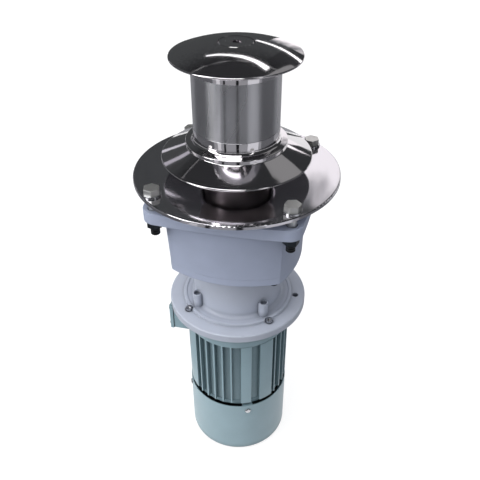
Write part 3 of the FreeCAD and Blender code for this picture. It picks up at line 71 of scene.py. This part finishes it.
def linear(text):
    """sRGB hex to linear RGBA: c/12.92 below 0.04045, else ((c + 0.055)/1.055)^2.4."""
    channels = [int(text[i:i + 2], 16) / 255 for i in (1, 3, 5)]
    return [c / 12.92 if c <= 0.04045 else ((c + 0.055) / 1.055) ** 2.4 for c in channels] + [1.0]


def add(tree, kind, inputs=None, **settings):
    """Adds a node. inputs gives each socket a value, or another node's output to link from."""
    new = tree.nodes.new("ShaderNode" + kind)
    for name, setting in settings.items():
        setattr(new, name, setting)
    for name, source in (inputs or {}).items():
        if isinstance(source, bpy.types.NodeSocket):
            tree.links.new(source, new.inputs[name])
        else:
            new.inputs[name].default_value = source
    return new


def start(name):
    """A new material with its Principled shader."""
    material = bpy.data.materials.new(name)
    material.use_nodes = True
    return material, material.node_tree, material.node_tree.nodes["Principled BSDF"]


def between(tree, factor, low, high):
    """Maps a 0..1 factor to low..high."""
    return add(tree, "MapRange", {"Value": factor, "To Min": low, "To Max": high}).outputs[0]


def noise(tree, vector, size_mm, detail=2.0, stretch=(1, 1, 1)):
    """Noise whose blotches are about size_mm across, stretched per axis."""
    scaled = add(tree, "Mapping", {"Vector": vector, "Scale": [1 / s for s in stretch]})
    return add(tree, "TexNoise", {"Vector": scaled.outputs[0], "Scale": 1 / (size_mm * MM),
                                  "Detail": detail}).outputs["Fac"]


def place(tree):
    """Object coordinates, in metres."""
    return add(tree, "TexCoord").outputs["Object"]


# %% [markdown]
# ## Materials
# Stainless steel is polished, with a slight waviness, fine rubbing marks and patchy roughness. The
# barrel is turned: its marks run round Z, which draws its highlights out along its height. The
# castings and the motor have sprayed paint over a sand-cast grain, with painted shade in corners.

# %%
# Material recipes
THREAD_PITCH = 1.75
# heights in mm where a bolt turns from bright to the painted shade below the deck
UNDER_DECK_SHADE_BOTTOM, UNDER_DECK_SHADE_TOP = -16, -14


def polished_steel(name, colour, roughness, wave_mm=22, wave=0.12, mark=0.04):
    """Mirror steel: waves wave_mm across, fine marks, and patches of duller polish."""
    material, tree, shader = start(name)
    at = place(tree)
    waves = noise(tree, at, wave_mm, 1.0)
    marks = noise(tree, at, 0.8, 3.0, (1, 1, 12))
    patches = noise(tree, at, 9, 4.0)
    soft = add(tree, "Bump", {"Height": waves, "Strength": wave, "Distance": 1 * MM})
    bump = add(tree, "Bump", {"Height": marks, "Strength": mark, "Distance": 0.05 * MM,
                              "Normal": soft.outputs[0]})
    tree.links.new(between(tree, patches, roughness * 0.7, roughness * 1.4),
                   shader.inputs["Roughness"])
    tree.links.new(bump.outputs[0], shader.inputs["Normal"])
    shader.inputs["Base Color"].default_value = linear(colour)
    shader.inputs["Metallic"].default_value = 1.0
    return material


def turned_steel(name, colour, roughness, anisotropy):
    """Steel with turning marks round Z: the marks vary quickly with height and slowly round it."""
    material, tree, shader = start(name)
    at = place(tree)
    rings = noise(tree, at, 0.5, 2.0, (200, 200, 1))
    bump = add(tree, "Bump", {"Height": rings, "Strength": 0.02, "Distance": 0.02 * MM})
    round_z = add(tree, "Tangent", direction_type="RADIAL", axis="Z")
    tree.links.new(between(tree, noise(tree, at, 30, 1.0, (1, 1, 4)), roughness * 0.9,
                           roughness * 1.12), shader.inputs["Roughness"])
    tree.links.new(bump.outputs[0], shader.inputs["Normal"])
    tree.links.new(round_z.outputs[0], shader.inputs["Tangent"])
    shader.inputs["Base Color"].default_value = linear(colour)
    shader.inputs["Metallic"].default_value = 1.0
    shader.inputs["Anisotropic"].default_value = anisotropy
    shader.inputs["Anisotropic Rotation"].default_value = 0.25
    return material


def paint(name, colour, corner_shade, roughness, grain_mm=1.6, grain=0.25, edge_mm=1.0, shade_reach_mm=11):
    """Sprayed paint: grain from the casting, softened edges, and painted shade that darkens
    corners.
    """
    material, tree, shader = start(name)
    at = place(tree)
    edge = add(tree, "Bevel", {"Radius": edge_mm * MM}, samples=6)
    bump = add(tree, "Bump", {"Height": noise(tree, at, grain_mm, 4.0), "Strength": grain,
                              "Distance": 0.2 * MM, "Normal": edge.outputs[0]})
    # painted shade: ambient occlusion mixes corner_shade into the colour in corners and creases,
    # times a random tone
    open_air = add(tree, "AmbientOcclusion", {"Distance": shade_reach_mm * MM}, samples=6).outputs["AO"]
    shade_and_tone = add(tree, "Math", {0: open_air, 1: between(tree, noise(tree, at, 30, 3.0), 0.86, 1.0)},
               operation="MULTIPLY").outputs[0]
    blend = add(tree, "Mix", {"Factor": shade_and_tone, "A": linear(corner_shade), "B": linear(colour)},
                data_type="RGBA")
    tree.links.new(blend.outputs["Result"], shader.inputs["Base Color"])
    tree.links.new(between(tree, noise(tree, at, 5, 3.0), roughness * 0.85, roughness * 1.2),
                   shader.inputs["Roughness"])
    tree.links.new(bump.outputs[0], shader.inputs["Normal"])
    return material


def plain(name, colour, roughness, grain_mm, grain, metallic=0.0):
    """Machined steel, rubber or moulded plastic: a fine grain and slightly patchy roughness."""
    material, tree, shader = start(name)
    at = place(tree)
    edge = add(tree, "Bevel", {"Radius": 0.35 * MM}, samples=4)
    bump = add(tree, "Bump", {"Height": noise(tree, at, grain_mm, 3.0), "Strength": grain,
                              "Distance": 0.1 * MM, "Normal": edge.outputs[0]})
    tree.links.new(between(tree, noise(tree, at, 4, 3.0), roughness * 0.8, roughness * 1.25),
                   shader.inputs["Roughness"])
    tree.links.new(bump.outputs[0], shader.inputs["Normal"])
    shader.inputs["Base Color"].default_value = linear(colour)
    shader.inputs["Metallic"].default_value = metallic
    return material


def shaded_below_deck(name, colour, below, roughness):
    """Bright where a bolt shows above the deck, and a near black painted shade on the threads
    below it.
    """
    material, tree, shader = start(name)
    at = place(tree)
    height = add(tree, "SeparateXYZ", {"Vector": at}).outputs["Z"]
    # painted shade: the bolt turns near black below the deck
    part = add(tree, "MapRange", {"Value": height, "From Min": UNDER_DECK_SHADE_BOTTOM * MM,
                                "From Max": UNDER_DECK_SHADE_TOP * MM})
    blend = add(tree, "Mix", {"Factor": part.outputs[0], "A": linear(below),
                              "B": linear(colour)}, data_type="RGBA")
    thread = add(tree, "TexWave", {"Vector": at, "Scale": 1 / (THREAD_PITCH * MM) / math.tau},
                 bands_direction="Z").outputs["Fac"]
    cut = add(tree, "MapRange", {"Value": part.outputs[0], "To Min": 0.9, "To Max": 0.0})
    edge = add(tree, "Bevel", {"Radius": 0.7 * MM}, samples=6)
    bump = add(tree, "Bump", {"Height": thread, "Strength": cut.outputs[0],
                              "Distance": 0.8 * MM, "Normal": edge.outputs[0]})
    tree.links.new(blend.outputs["Result"], shader.inputs["Base Color"])
    tree.links.new(between(tree, noise(tree, at, 3, 3.0), roughness * 0.8, roughness * 1.3),
                   shader.inputs["Roughness"])
    tree.links.new(bump.outputs[0], shader.inputs["Normal"])
    shader.inputs["Metallic"].default_value = 1.0
    return material


MATERIALS = {
    "polished_stainless": polished_steel("stainless steel, mirror polished", "#dcd9dc", 0.07),
    "plate_stainless": polished_steel("stainless plate, polished", "#d9d7dc", 0.09, 30, 0.10),
    "turned_stainless": turned_steel("stainless steel, turned", "#b6b6ba", 0.27, 0.9),
    "satin_stainless": plain("stainless steel, drawn", "#c8c9cc", 0.22, 0.6, 0.06, 1.0),
    "zinc_steel": plain("zinc plated steel", "#8f9498", 0.34, 0.5, 0.10, 1.0),
    "dark_steel": plain("blackened steel", "#3c4146", 0.40, 0.6, 0.12, 1.0),
    # the second colour of each paint is its painted shade, taken in corners and creases
    "case_paint": paint("case paint, blue grey", "#b1bad1", "#3b434e", 0.42),
    "flange_paint": paint("flange paint, pale grey", "#c3c9d7", "#4a505c", 0.34),
    "motor_paint": paint("motor paint, teal grey", "#a5c0ca", "#1f373d", 0.36, 0.9, 0.12, 0.6, 16),
    "column_steel": plain("cast iron, machined", "#857e7d", 0.45, 0.8, 0.1, 1.0),
    # below the deck this bolt takes a near black painted shade
    "bolt_stainless": shaded_below_deck("stainless steel, cold headed", "#d6d6d4", "#2b2d2f", 0.4),
    "gear_steel": plain("machined steel", "#a9abb0", 0.32, 0.4, 0.08, 1.0),
    "bearing_steel": plain("bearing steel, ground", "#c9cbd0", 0.18, 0.4, 0.04, 1.0),
    "seal_rubber": plain("nitrile rubber", "#17181a", 0.62, 1.2, 0.20),
    "core_iron": plain("electrical sheet", "#4b4d50", 0.55, 0.5, 0.30, 1.0),
    "winding_copper": plain("enamelled copper", "#8a4a22", 0.35, 1.1, 0.60, 1.0),
    "fan_plastic": plain("moulded nylon, black", "#1b1c1e", 0.50, 1.0, 0.12),
    "board_plastic": plain("moulded phenolic, brown", "#3a2417", 0.45, 1.0, 0.12),
    "gland_plastic": plain("moulded nylon, dark", "#222427", 0.48, 1.0, 0.12),
    "stud_brass": plain("brass", "#c19a4b", 0.30, 0.5, 0.08, 1.0),
}
print(len(MATERIALS), "materials")

# %% [markdown]
# ## Materials on the CAD nodes
# A node takes the material named for its slot in the record, unless FINISH names a nearer one.

# %%
# Assign the materials
FINISH = {
    "deck_plate": "plate_stainless",
    "input_housing": "flange_paint",
    "deck_bolt_nuts": "dark_steel",
    "shaft_column": "column_steel",
    "neck_screws": "flange_paint",
    "deck_bolts": "bolt_stainless",
    "cover_screws": "dark_steel",
    "motor_flange_screws": "satin_stainless",
    "cowl_screws": "satin_stainless",
}
for part in frame["record"]["subparts"]:
    material = MATERIALS[FINISH.get(part["node"], part["material_slot"])]
    mesh = frame["nodes"][part["node"]].data
    if not mesh.materials:
        mesh.materials.append(material)
    for index in range(len(mesh.materials)):
        mesh.materials[index] = material

# %% [markdown]
# ## Polished surfaces
# A polished surface shows every facet, so the turned pieces that the light plays on are made
# again as exact surfaces of revolution with rounded edges. Each outline is a list of (radius,
# height, rounding) corners in millimetres, taken round the material.

# %%
# Surfaces of revolution
SEGMENTS = 256


def rounded(corners, steps=6):
    """Rounds each corner P of an outline by an arc of its radius R.

    The arc touches both sides at t = R / tan(half the corner's angle) from P.
    """
    out = []
    for i, (radius, height, round_off) in enumerate(corners):
        p = np.array([radius, height], float)
        if round_off == 0:
            out.append(p)
            continue
        before = np.array(corners[i - 1][:2], float) - p
        after = np.array(corners[(i + 1) % len(corners)][:2], float) - p
        u, v = before / np.linalg.norm(before), after / np.linalg.norm(after)
        half = math.acos(np.clip(u @ v, -1, 1)) / 2
        reach = min(round_off / math.tan(half), np.linalg.norm(before) * 0.49,
                    np.linalg.norm(after) * 0.49)
        size = reach * math.tan(half)
        centre = p + (u + v) / np.linalg.norm(u + v) * size / math.sin(half)
        first, last = p + u * reach - centre, p + v * reach - centre
        turn = math.pi - 2 * half
        for k in range(steps + 1):
            s = k / steps
            weights = math.sin((1 - s) * turn), math.sin(s * turn)
            out.append(centre + (weights[0] * first + weights[1] * last) / math.sin(turn))
    return np.array(out)


def arc(centre, radius, first, last, count):
    """Points c + R(cos a, sin a), a from first to last in degrees."""
    angles = np.radians(np.linspace(first, last, count))
    return np.stack([centre[0] + radius * np.cos(angles), centre[1] + radius * np.sin(angles)], 1)


def lathe(name, outline, body, replaced, material, sharp=35):
    """S(i, j) = (r_i cos t_j, r_i sin t_j, z_i), t_j = 2 pi j / SEGMENTS: a closed ring."""
    outline = np.asarray(outline) * MM
    angles = 2 * np.pi * np.arange(SEGMENTS) / SEGMENTS
    points = np.stack([np.outer(outline[:, 0], np.cos(angles)),
                       np.outer(outline[:, 0], np.sin(angles)),
                       np.repeat(outline[:, 1:], SEGMENTS, 1)], -1).reshape(-1, 3)
    i, j = np.meshgrid(np.arange(len(outline)), np.arange(SEGMENTS), indexing="ij")
    up, on = (i + 1) % len(outline), (j + 1) % SEGMENTS
    faces = np.stack([i * SEGMENTS + j, i * SEGMENTS + on, up * SEGMENTS + on,
                      up * SEGMENTS + j], -1).reshape(-1, 4)
    mesh = bpy.data.meshes.new(name)
    mesh.from_pydata(points.tolist(), [], faces.tolist())
    mesh.materials.append(material)
    mesh.shade_smooth()
    mesh.set_sharp_from_angle(angle=math.radians(sharp))
    piece = bpy.data.objects.new(name, mesh)
    bpy.context.collection.objects.link(piece)
    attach(piece, body)
    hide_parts(*replaced)
    made.append(piece)
    return piece


BARREL_R, BARREL_BORE, BARREL_FOOT, BARREL_TOP = 54.5, 47.5, 40, 150
WAIST = 0.3
SPIGOT, SEAT = 50.5, 55
LOWER_BAND, UPPER_BAND = 66.5, 138
WEB_TOP, WEB_BOTTOM, HUB_R, HUB_FLOOR, SHAFT_END = 140, 126, 26, 112, 15.02

barrel_outline = rounded([
    (BARREL_BORE, BARREL_FOOT, 0.5), (SPIGOT, BARREL_FOOT, 0.5), (SPIGOT, SEAT, 0),
    (BARREL_R, SEAT, 0.1), (BARREL_R, LOWER_BAND, 0.15), (BARREL_R - WAIST, LOWER_BAND + WAIST, 0),
    (BARREL_R - WAIST, UPPER_BAND - WAIST, 0), (BARREL_R, UPPER_BAND, 0.15),
    (BARREL_R, BARREL_TOP, 0.4), (BARREL_BORE, BARREL_TOP, 0.4), (BARREL_BORE, WEB_TOP, 0),
    (SHAFT_END, WEB_TOP, 0), (SHAFT_END, HUB_FLOOR, 0), (HUB_R, HUB_FLOOR, 1),
    (HUB_R, WEB_BOTTOM, 0), (BARREL_BORE, WEB_BOTTOM, 0)])
barrel = lathe("barrel_surface", barrel_outline, "drum", ["drum_barrel"],
               MATERIALS["turned_stainless"])
barrel.data.materials.append(MATERIALS["polished_stainless"])
for face in barrel.data.polygons:
    height = face.center.z / MM
    if not LOWER_BAND < height < UPPER_BAND:
        face.material_index = 1

SKIRT_R, SKIRT_RIM, SKIRT_FOOT_R = 96, 27.5, 56.5
BEAD_R, BEAD_TOP, COVE = 64.5, 50.4, 4.5
skirt_outline = np.concatenate([
    rounded([(SPIGOT, BARREL_FOOT, 0), (SKIRT_FOOT_R, BARREL_FOOT, 0)]),
    arc((SKIRT_R - 1.5, SKIRT_RIM + 0.5), 1.5, -70, 68, 9),
    arc((BEAD_R + 0.2, BEAD_TOP - 6.2), 1.0, 250, 180, 4),
    arc((BEAD_R - 1.1, BEAD_TOP - 2.2), 1.1, 0, 76, 8),
    arc((BARREL_R + COVE, SEAT + 0.1), COVE, 256, 181, 14),
    rounded([(BARREL_R, SEAT, 0), (SPIGOT, SEAT, 0)])])
lathe("skirt_surface", skirt_outline, "drum", ["drum_skirt"],
      MATERIALS["polished_stainless"])

CAP_R, CAP_RIM, CROWN = 79, 155, 15
SPHERE = (CAP_R ** 2 + CROWN ** 2) / (2 * CROWN)
CAP_CENTRE = CAP_RIM + CROWN - SPHERE
WASHER_R, WASHER_TOP, WASHER_SEAT = 21.2, 168.8, 21.5
CAP_FLOOR = WASHER_TOP - 7.5
CHAMFER = 1.2
SCREW_BORE, COUNTERBORE = 6.5, 12
BOSS_R, RECESS_R, RECESS_TOP, SPIGOT_FOOT, LIP_R = 22, 42.5, 155, 146.5, 57.5
rim_angle = math.degrees(math.acos((CAP_R - 0.5) / SPHERE))
seat_angle = math.degrees(math.acos(WASHER_SEAT / SPHERE))
cap_outline = np.concatenate([
    rounded([(SCREW_BORE, WEB_TOP, 0), (BOSS_R, WEB_TOP, 0), (BOSS_R, RECESS_TOP, 0),
             (RECESS_R, RECESS_TOP, 0), (RECESS_R, SPIGOT_FOOT, 0), (BARREL_BORE, SPIGOT_FOOT, 0),
             (BARREL_BORE, BARREL_TOP, 0), (LIP_R, BARREL_TOP, 0)]),
    arc((CAP_R - 1.3, CAP_RIM - 1.25), 1.3, -70, 55, 8),
    arc((0, CAP_CENTRE), SPHERE, rim_angle, seat_angle, 40),
    rounded([(WASHER_SEAT, CAP_FLOOR, 0), (SCREW_BORE, CAP_FLOOR, 0)])])
lathe("cap_surface", cap_outline, "drum", ["drum_cap"],
      MATERIALS["polished_stainless"])

washer_outline = rounded([
    (SCREW_BORE, CAP_FLOOR, 0), (WASHER_R, CAP_FLOOR, 0.3), (WASHER_R, WASHER_TOP - CHAMFER, 0.3),
    (WASHER_R - CHAMFER, WASHER_TOP, 0.2), (COUNTERBORE, WASHER_TOP, 0.2),
    (SCREW_BORE, WASHER_TOP - 5.5, 0)])
lathe("washer_surface", washer_outline, "drum", ["cap_washer"],
      MATERIALS["polished_stainless"])

print("turned surfaces:", [piece.name for piece in made])

# %% [markdown]
# ## Camera
# The camera stands in front and a little to the right, above the cap, and looks down at about 36
# degrees, through a 45 mm lens.

# %%
# Camera
CAMERA = Vector((155.6, -667.9, 385.9)) * MM
TURN, TILT, ROLL = math.radians(12.81), math.radians(35.88), math.radians(-0.23)
forward = Vector((-math.sin(TURN) * math.cos(TILT), math.cos(TURN) * math.cos(TILT),
                  -math.sin(TILT)))
right = Vector((math.cos(TURN), math.sin(TURN), 0))
upward = right.cross(forward)
across = right * math.cos(ROLL) + upward * math.sin(ROLL)
above = upward * math.cos(ROLL) - right * math.sin(ROLL)
camera = bpy.data.objects.new("camera", bpy.data.cameras.new("camera"))
bpy.context.collection.objects.link(camera)
camera.matrix_world = Matrix.Translation(CAMERA) @ Matrix(
    (across, above, -forward)).transposed().to_4x4()
camera.data.lens = 45
camera.data.clip_start = 0.01
bpy.context.scene.camera = camera
print("camera at", [round(x / MM) for x in CAMERA], "mm")

# %% [markdown]
# ## Studio
# The floor and the room are white, to the camera and in what the steel mirrors. Dark screens
# stand round the object and a grey cloth lies round its foot: they show only in the steel, as do
# the bars on the cloth and the bright windows. Soft boxes light the paint. Each is placed by its
# direction from the object, in degrees: 0 is in front and 90 is at the right.

# %%
# Floor, surroundings and light cards
bpy.context.scene.view_settings.view_transform = "Standard"
FLOOR_Z = cad_box[0].z - 1 * MM
FLOOR_GLOW = 0.82
FLOOR_HALF = 6000
SHEET_COLUMNS, SHEET_ROWS = 24, 4
LAMP_DISTANCE = 2000


def shown(tree):
    """1 on rays from the camera, a mirror or a glass, and 0 on those that light the object."""
    path = add(tree, "LightPath")
    seen = add(tree, "Math", {0: path.outputs["Is Camera Ray"], 1: path.outputs["Is Glossy Ray"]},
               operation="MAXIMUM")
    return add(tree, "Math", {0: seen.outputs[0], 1: path.outputs["Is Transmission Ray"]},
               operation="MAXIMUM").outputs[0]


def surroundings():
    """White to the camera and the steel; the soft light falls from above and the left."""
    world = bpy.data.worlds.new("studio")
    world.use_nodes = True
    bpy.context.scene.world = world
    tree = world.node_tree
    way = add(tree, "SeparateXYZ", {"Vector": add(tree, "TexCoord").outputs["Generated"]})
    slant = add(tree, "Math", {0: way.outputs["X"], 1: -0.35, 2: way.outputs["Z"]},
                operation="MULTIPLY_ADD")
    rise = add(tree, "MapRange", {"Value": slant.outputs[0], "From Min": -0.1, "From Max": 0.9})
    soft = add(tree, "Mix", {"Factor": rise.outputs[0], "A": linear("#747a84"),
                             "B": linear("#ffffff")}, data_type="RGBA")
    colour = add(tree, "Mix", {"Factor": shown(tree), "A": soft.outputs["Result"],
                               "B": linear("#ffffff")}, data_type="RGBA")
    tree.links.new(colour.outputs["Result"], tree.nodes["Background"].inputs["Color"])
    tree.nodes["Background"].inputs["Strength"].default_value = 1.0


def floor():
    """White where light reaches it, and greyer in the object's own shadow."""
    material, tree, shader = start("studio floor")
    shader.inputs["Base Color"].default_value = linear("#8f8f90")
    shader.inputs["Roughness"].default_value = 0.8
    shader.inputs["Emission Color"].default_value = linear("#ffffff")
    lift = add(tree, "Math", {0: shown(tree), 1: FLOOR_GLOW}, operation="MULTIPLY")
    tree.links.new(lift.outputs[0], shader.inputs["Emission Strength"])
    mesh = bpy.data.meshes.new("floor")
    half = FLOOR_HALF * MM
    mesh.from_pydata([(-half, -half, FLOOR_Z), (half, -half, FLOOR_Z), (half, half, FLOOR_Z),
                      (-half, half, FLOOR_Z)], [], [(0, 1, 2, 3)])
    mesh.materials.append(material)
    ground = bpy.data.objects.new("floor", mesh)
    bpy.context.collection.objects.link(ground)


def panel(name, azimuths, low, high, colour, strength=1.0, flag=True, end=None, shade=None):
    """A curved sheet between two rings, from azimuth to azimuth.

    P(u, v) = (r sin a, -r cos a, z): r and z run from low to high, each a (radius, height) in mm,
    and a over azimuths in degrees. Where end is given, low and high change to it on the way. A
    flag shows only in the steel, and takes no light from the object. A second colour, shade,
    takes over towards the high edge in slanting strokes.
    """
    turn, rise = np.meshgrid(np.linspace(0, 1, SHEET_COLUMNS + 1),
                             np.linspace(0, 1, SHEET_ROWS + 1))
    angle = np.radians(azimuths[0] + (azimuths[1] - azimuths[0]) * turn)
    first, last = np.array((low, high), float), np.array(end or (low, high), float)
    low, high = (first[k][:, None, None] * (1 - turn) + last[k][:, None, None] * turn
                 for k in (0, 1))
    radius, height = (low + (high - low) * rise) * MM
    points = np.stack([radius * np.sin(angle), -radius * np.cos(angle), height], -1)
    i, j = np.meshgrid(np.arange(SHEET_ROWS), np.arange(SHEET_COLUMNS), indexing="ij")
    row = SHEET_COLUMNS + 1
    corner = i * row + j
    faces = np.stack([corner, corner + 1, corner + row + 1, corner + row], -1).reshape(-1, 4)
    material, tree, shader = start(name)
    glow = add(tree, "Emission", {"Color": linear(colour), "Strength": strength})
    if shade:
        at = place(tree)
        up = add(tree, "MapRange", {"Value": add(tree, "SeparateXYZ", {"Vector": at}).outputs["Z"],
                                    "From Min": first[0][1] * MM, "From Max": first[1][1] * MM})
        stroke = noise(tree, at, 24, 3.0, (1, 1, 3))
        both = add(tree, "Math", {0: up.outputs[0], 1: stroke})
        swing = add(tree, "MapRange", {"Value": both.outputs[0], "From Min": 1.05,
                                       "From Max": 1.5})
        blend = add(tree, "Mix", {"Factor": swing.outputs[0], "A": linear(colour),
                                  "B": linear(shade)}, data_type="RGBA")
        tree.links.new(blend.outputs["Result"], glow.inputs["Color"])
    tree.links.new(glow.outputs[0], tree.nodes["Material Output"].inputs["Surface"])
    mesh = bpy.data.meshes.new(name)
    mesh.from_pydata(points.reshape(-1, 3).tolist(), [], faces.tolist())
    mesh.materials.append(material)
    sheet = bpy.data.objects.new(name, mesh)
    bpy.context.collection.objects.link(sheet)
    sheet.visible_camera = False
    sheet.visible_diffuse = sheet.visible_shadow = not flag


def lamp(name, azimuths, elevations, strength, colour="#ffffff", end=None, flag=False):
    """A panel 2 m away, given by the elevations of its edges as seen from the drum."""
    def ring_at(e):
        return (LAMP_DISTANCE * math.cos(math.radians(e)),
                LAMP_DISTANCE * math.sin(math.radians(e)))
    panel(name, azimuths, ring_at(elevations[0]), ring_at(elevations[1]), colour, strength, flag,
          [ring_at(e) for e in end] if end else None)


surroundings()
floor()
# grey cloth round the foot and dark screens round the object, with gaps for the white room
DARK = "#37383a"
SCREEN_R, SCREEN_TOP, SCREEN_FOOT = 2300, 2600, -300
CLOTH_IN, CLOTH_OUT, CLOTH_Z, BAR_Z = 170, 2600, -470, -466
WALL, FOOT = (SCREEN_R, SCREEN_TOP), (SCREEN_R, SCREEN_FOOT)
panel("cloth", (-180, 180), (CLOTH_IN, CLOTH_Z), (CLOTH_OUT, CLOTH_Z), "#9fa0a4")
panel("screen_back_left", (176, 300), FOOT, WALL, "#4a4c4d", shade="#232426")
panel("screen_back_right", (130, 176), (SCREEN_R, 430), WALL, DARK, shade="#232426")
panel("screen_left", (-60, 0), FOOT, WALL, "#4c4d50", shade="#5c5d60")
panel("screen_right", (0, 130), FOOT, WALL, DARK, shade="#2a2b2d")
panel("screen_top", (-180, 180), WALL, (10, SCREEN_TOP), "#303133")
# bars on the cloth, which the barrel and its bands mirror: azimuths, radii and colour
BARS = {
    "bar_far_left": ((-115, -46), (500, 2250), "#68696d"),
    "bar_left": ((-36, -27), (800, 2250), "#e2e2e6"),
    "bar_dark": ((-19, -14), (700, 2250), "#1b1c1e"),
    "bar_dark_2": ((12, 19), (700, 2250), "#1b1c1e"),
    "bar_right": ((41, 70), (800, 2250), "#e4e5ea"),
    "bar_right_dark": ((78, 125), (500, 2250), "#6b6c70"),
}
for name, (azimuths, (near, far), colour) in BARS.items():
    panel(name, azimuths, (near, BAR_Z), (far, BAR_Z), colour)
# soft boxes, which light the object
lamp("softbox_left", (-60, -38), (2, 62), 5.0)
lamp("softbox_top", (-60, 30), (54, 84), 4.0)
lamp("softbox_right", (50, 56), (2, 50), 1.6)
lamp("softbox_back", (128, 165), (38, 62), 0.3)
# windows and a near sheet, which only the steel mirrors
lamp("window_arc", (187, 162), (18.5, 20.3), 2.4, end=(29.6, 32.4), flag=True)
lamp("window_high", (208, 170), (39.0, 40.4), 2.4, end=(51.0, 55.0), flag=True)
lamp("window_side", (137, 144), (50, 59), 2.0, "#fbf6f9", flag=True)
lamp("window_side_small", (138, 142), (64, 68), 1.4, "#fbf6f9", flag=True)
lamp("window_low", (158.5, 164), (17.5, 24), 1.6, "#fbf6f9", flag=True)
lamp("left_streak_1", (221, 223.5), (4, 24), 1.0, "#e4e2ea", flag=True)
lamp("left_streak_2", (233, 236.5), (2, 34), 0.8, "#d9d6e0", flag=True)
panel("near_sheet", (152, 177), (270, 66), (270, 215), "#fdf9fb", 1.25, shade="#5f6164")
print("stage is ready")
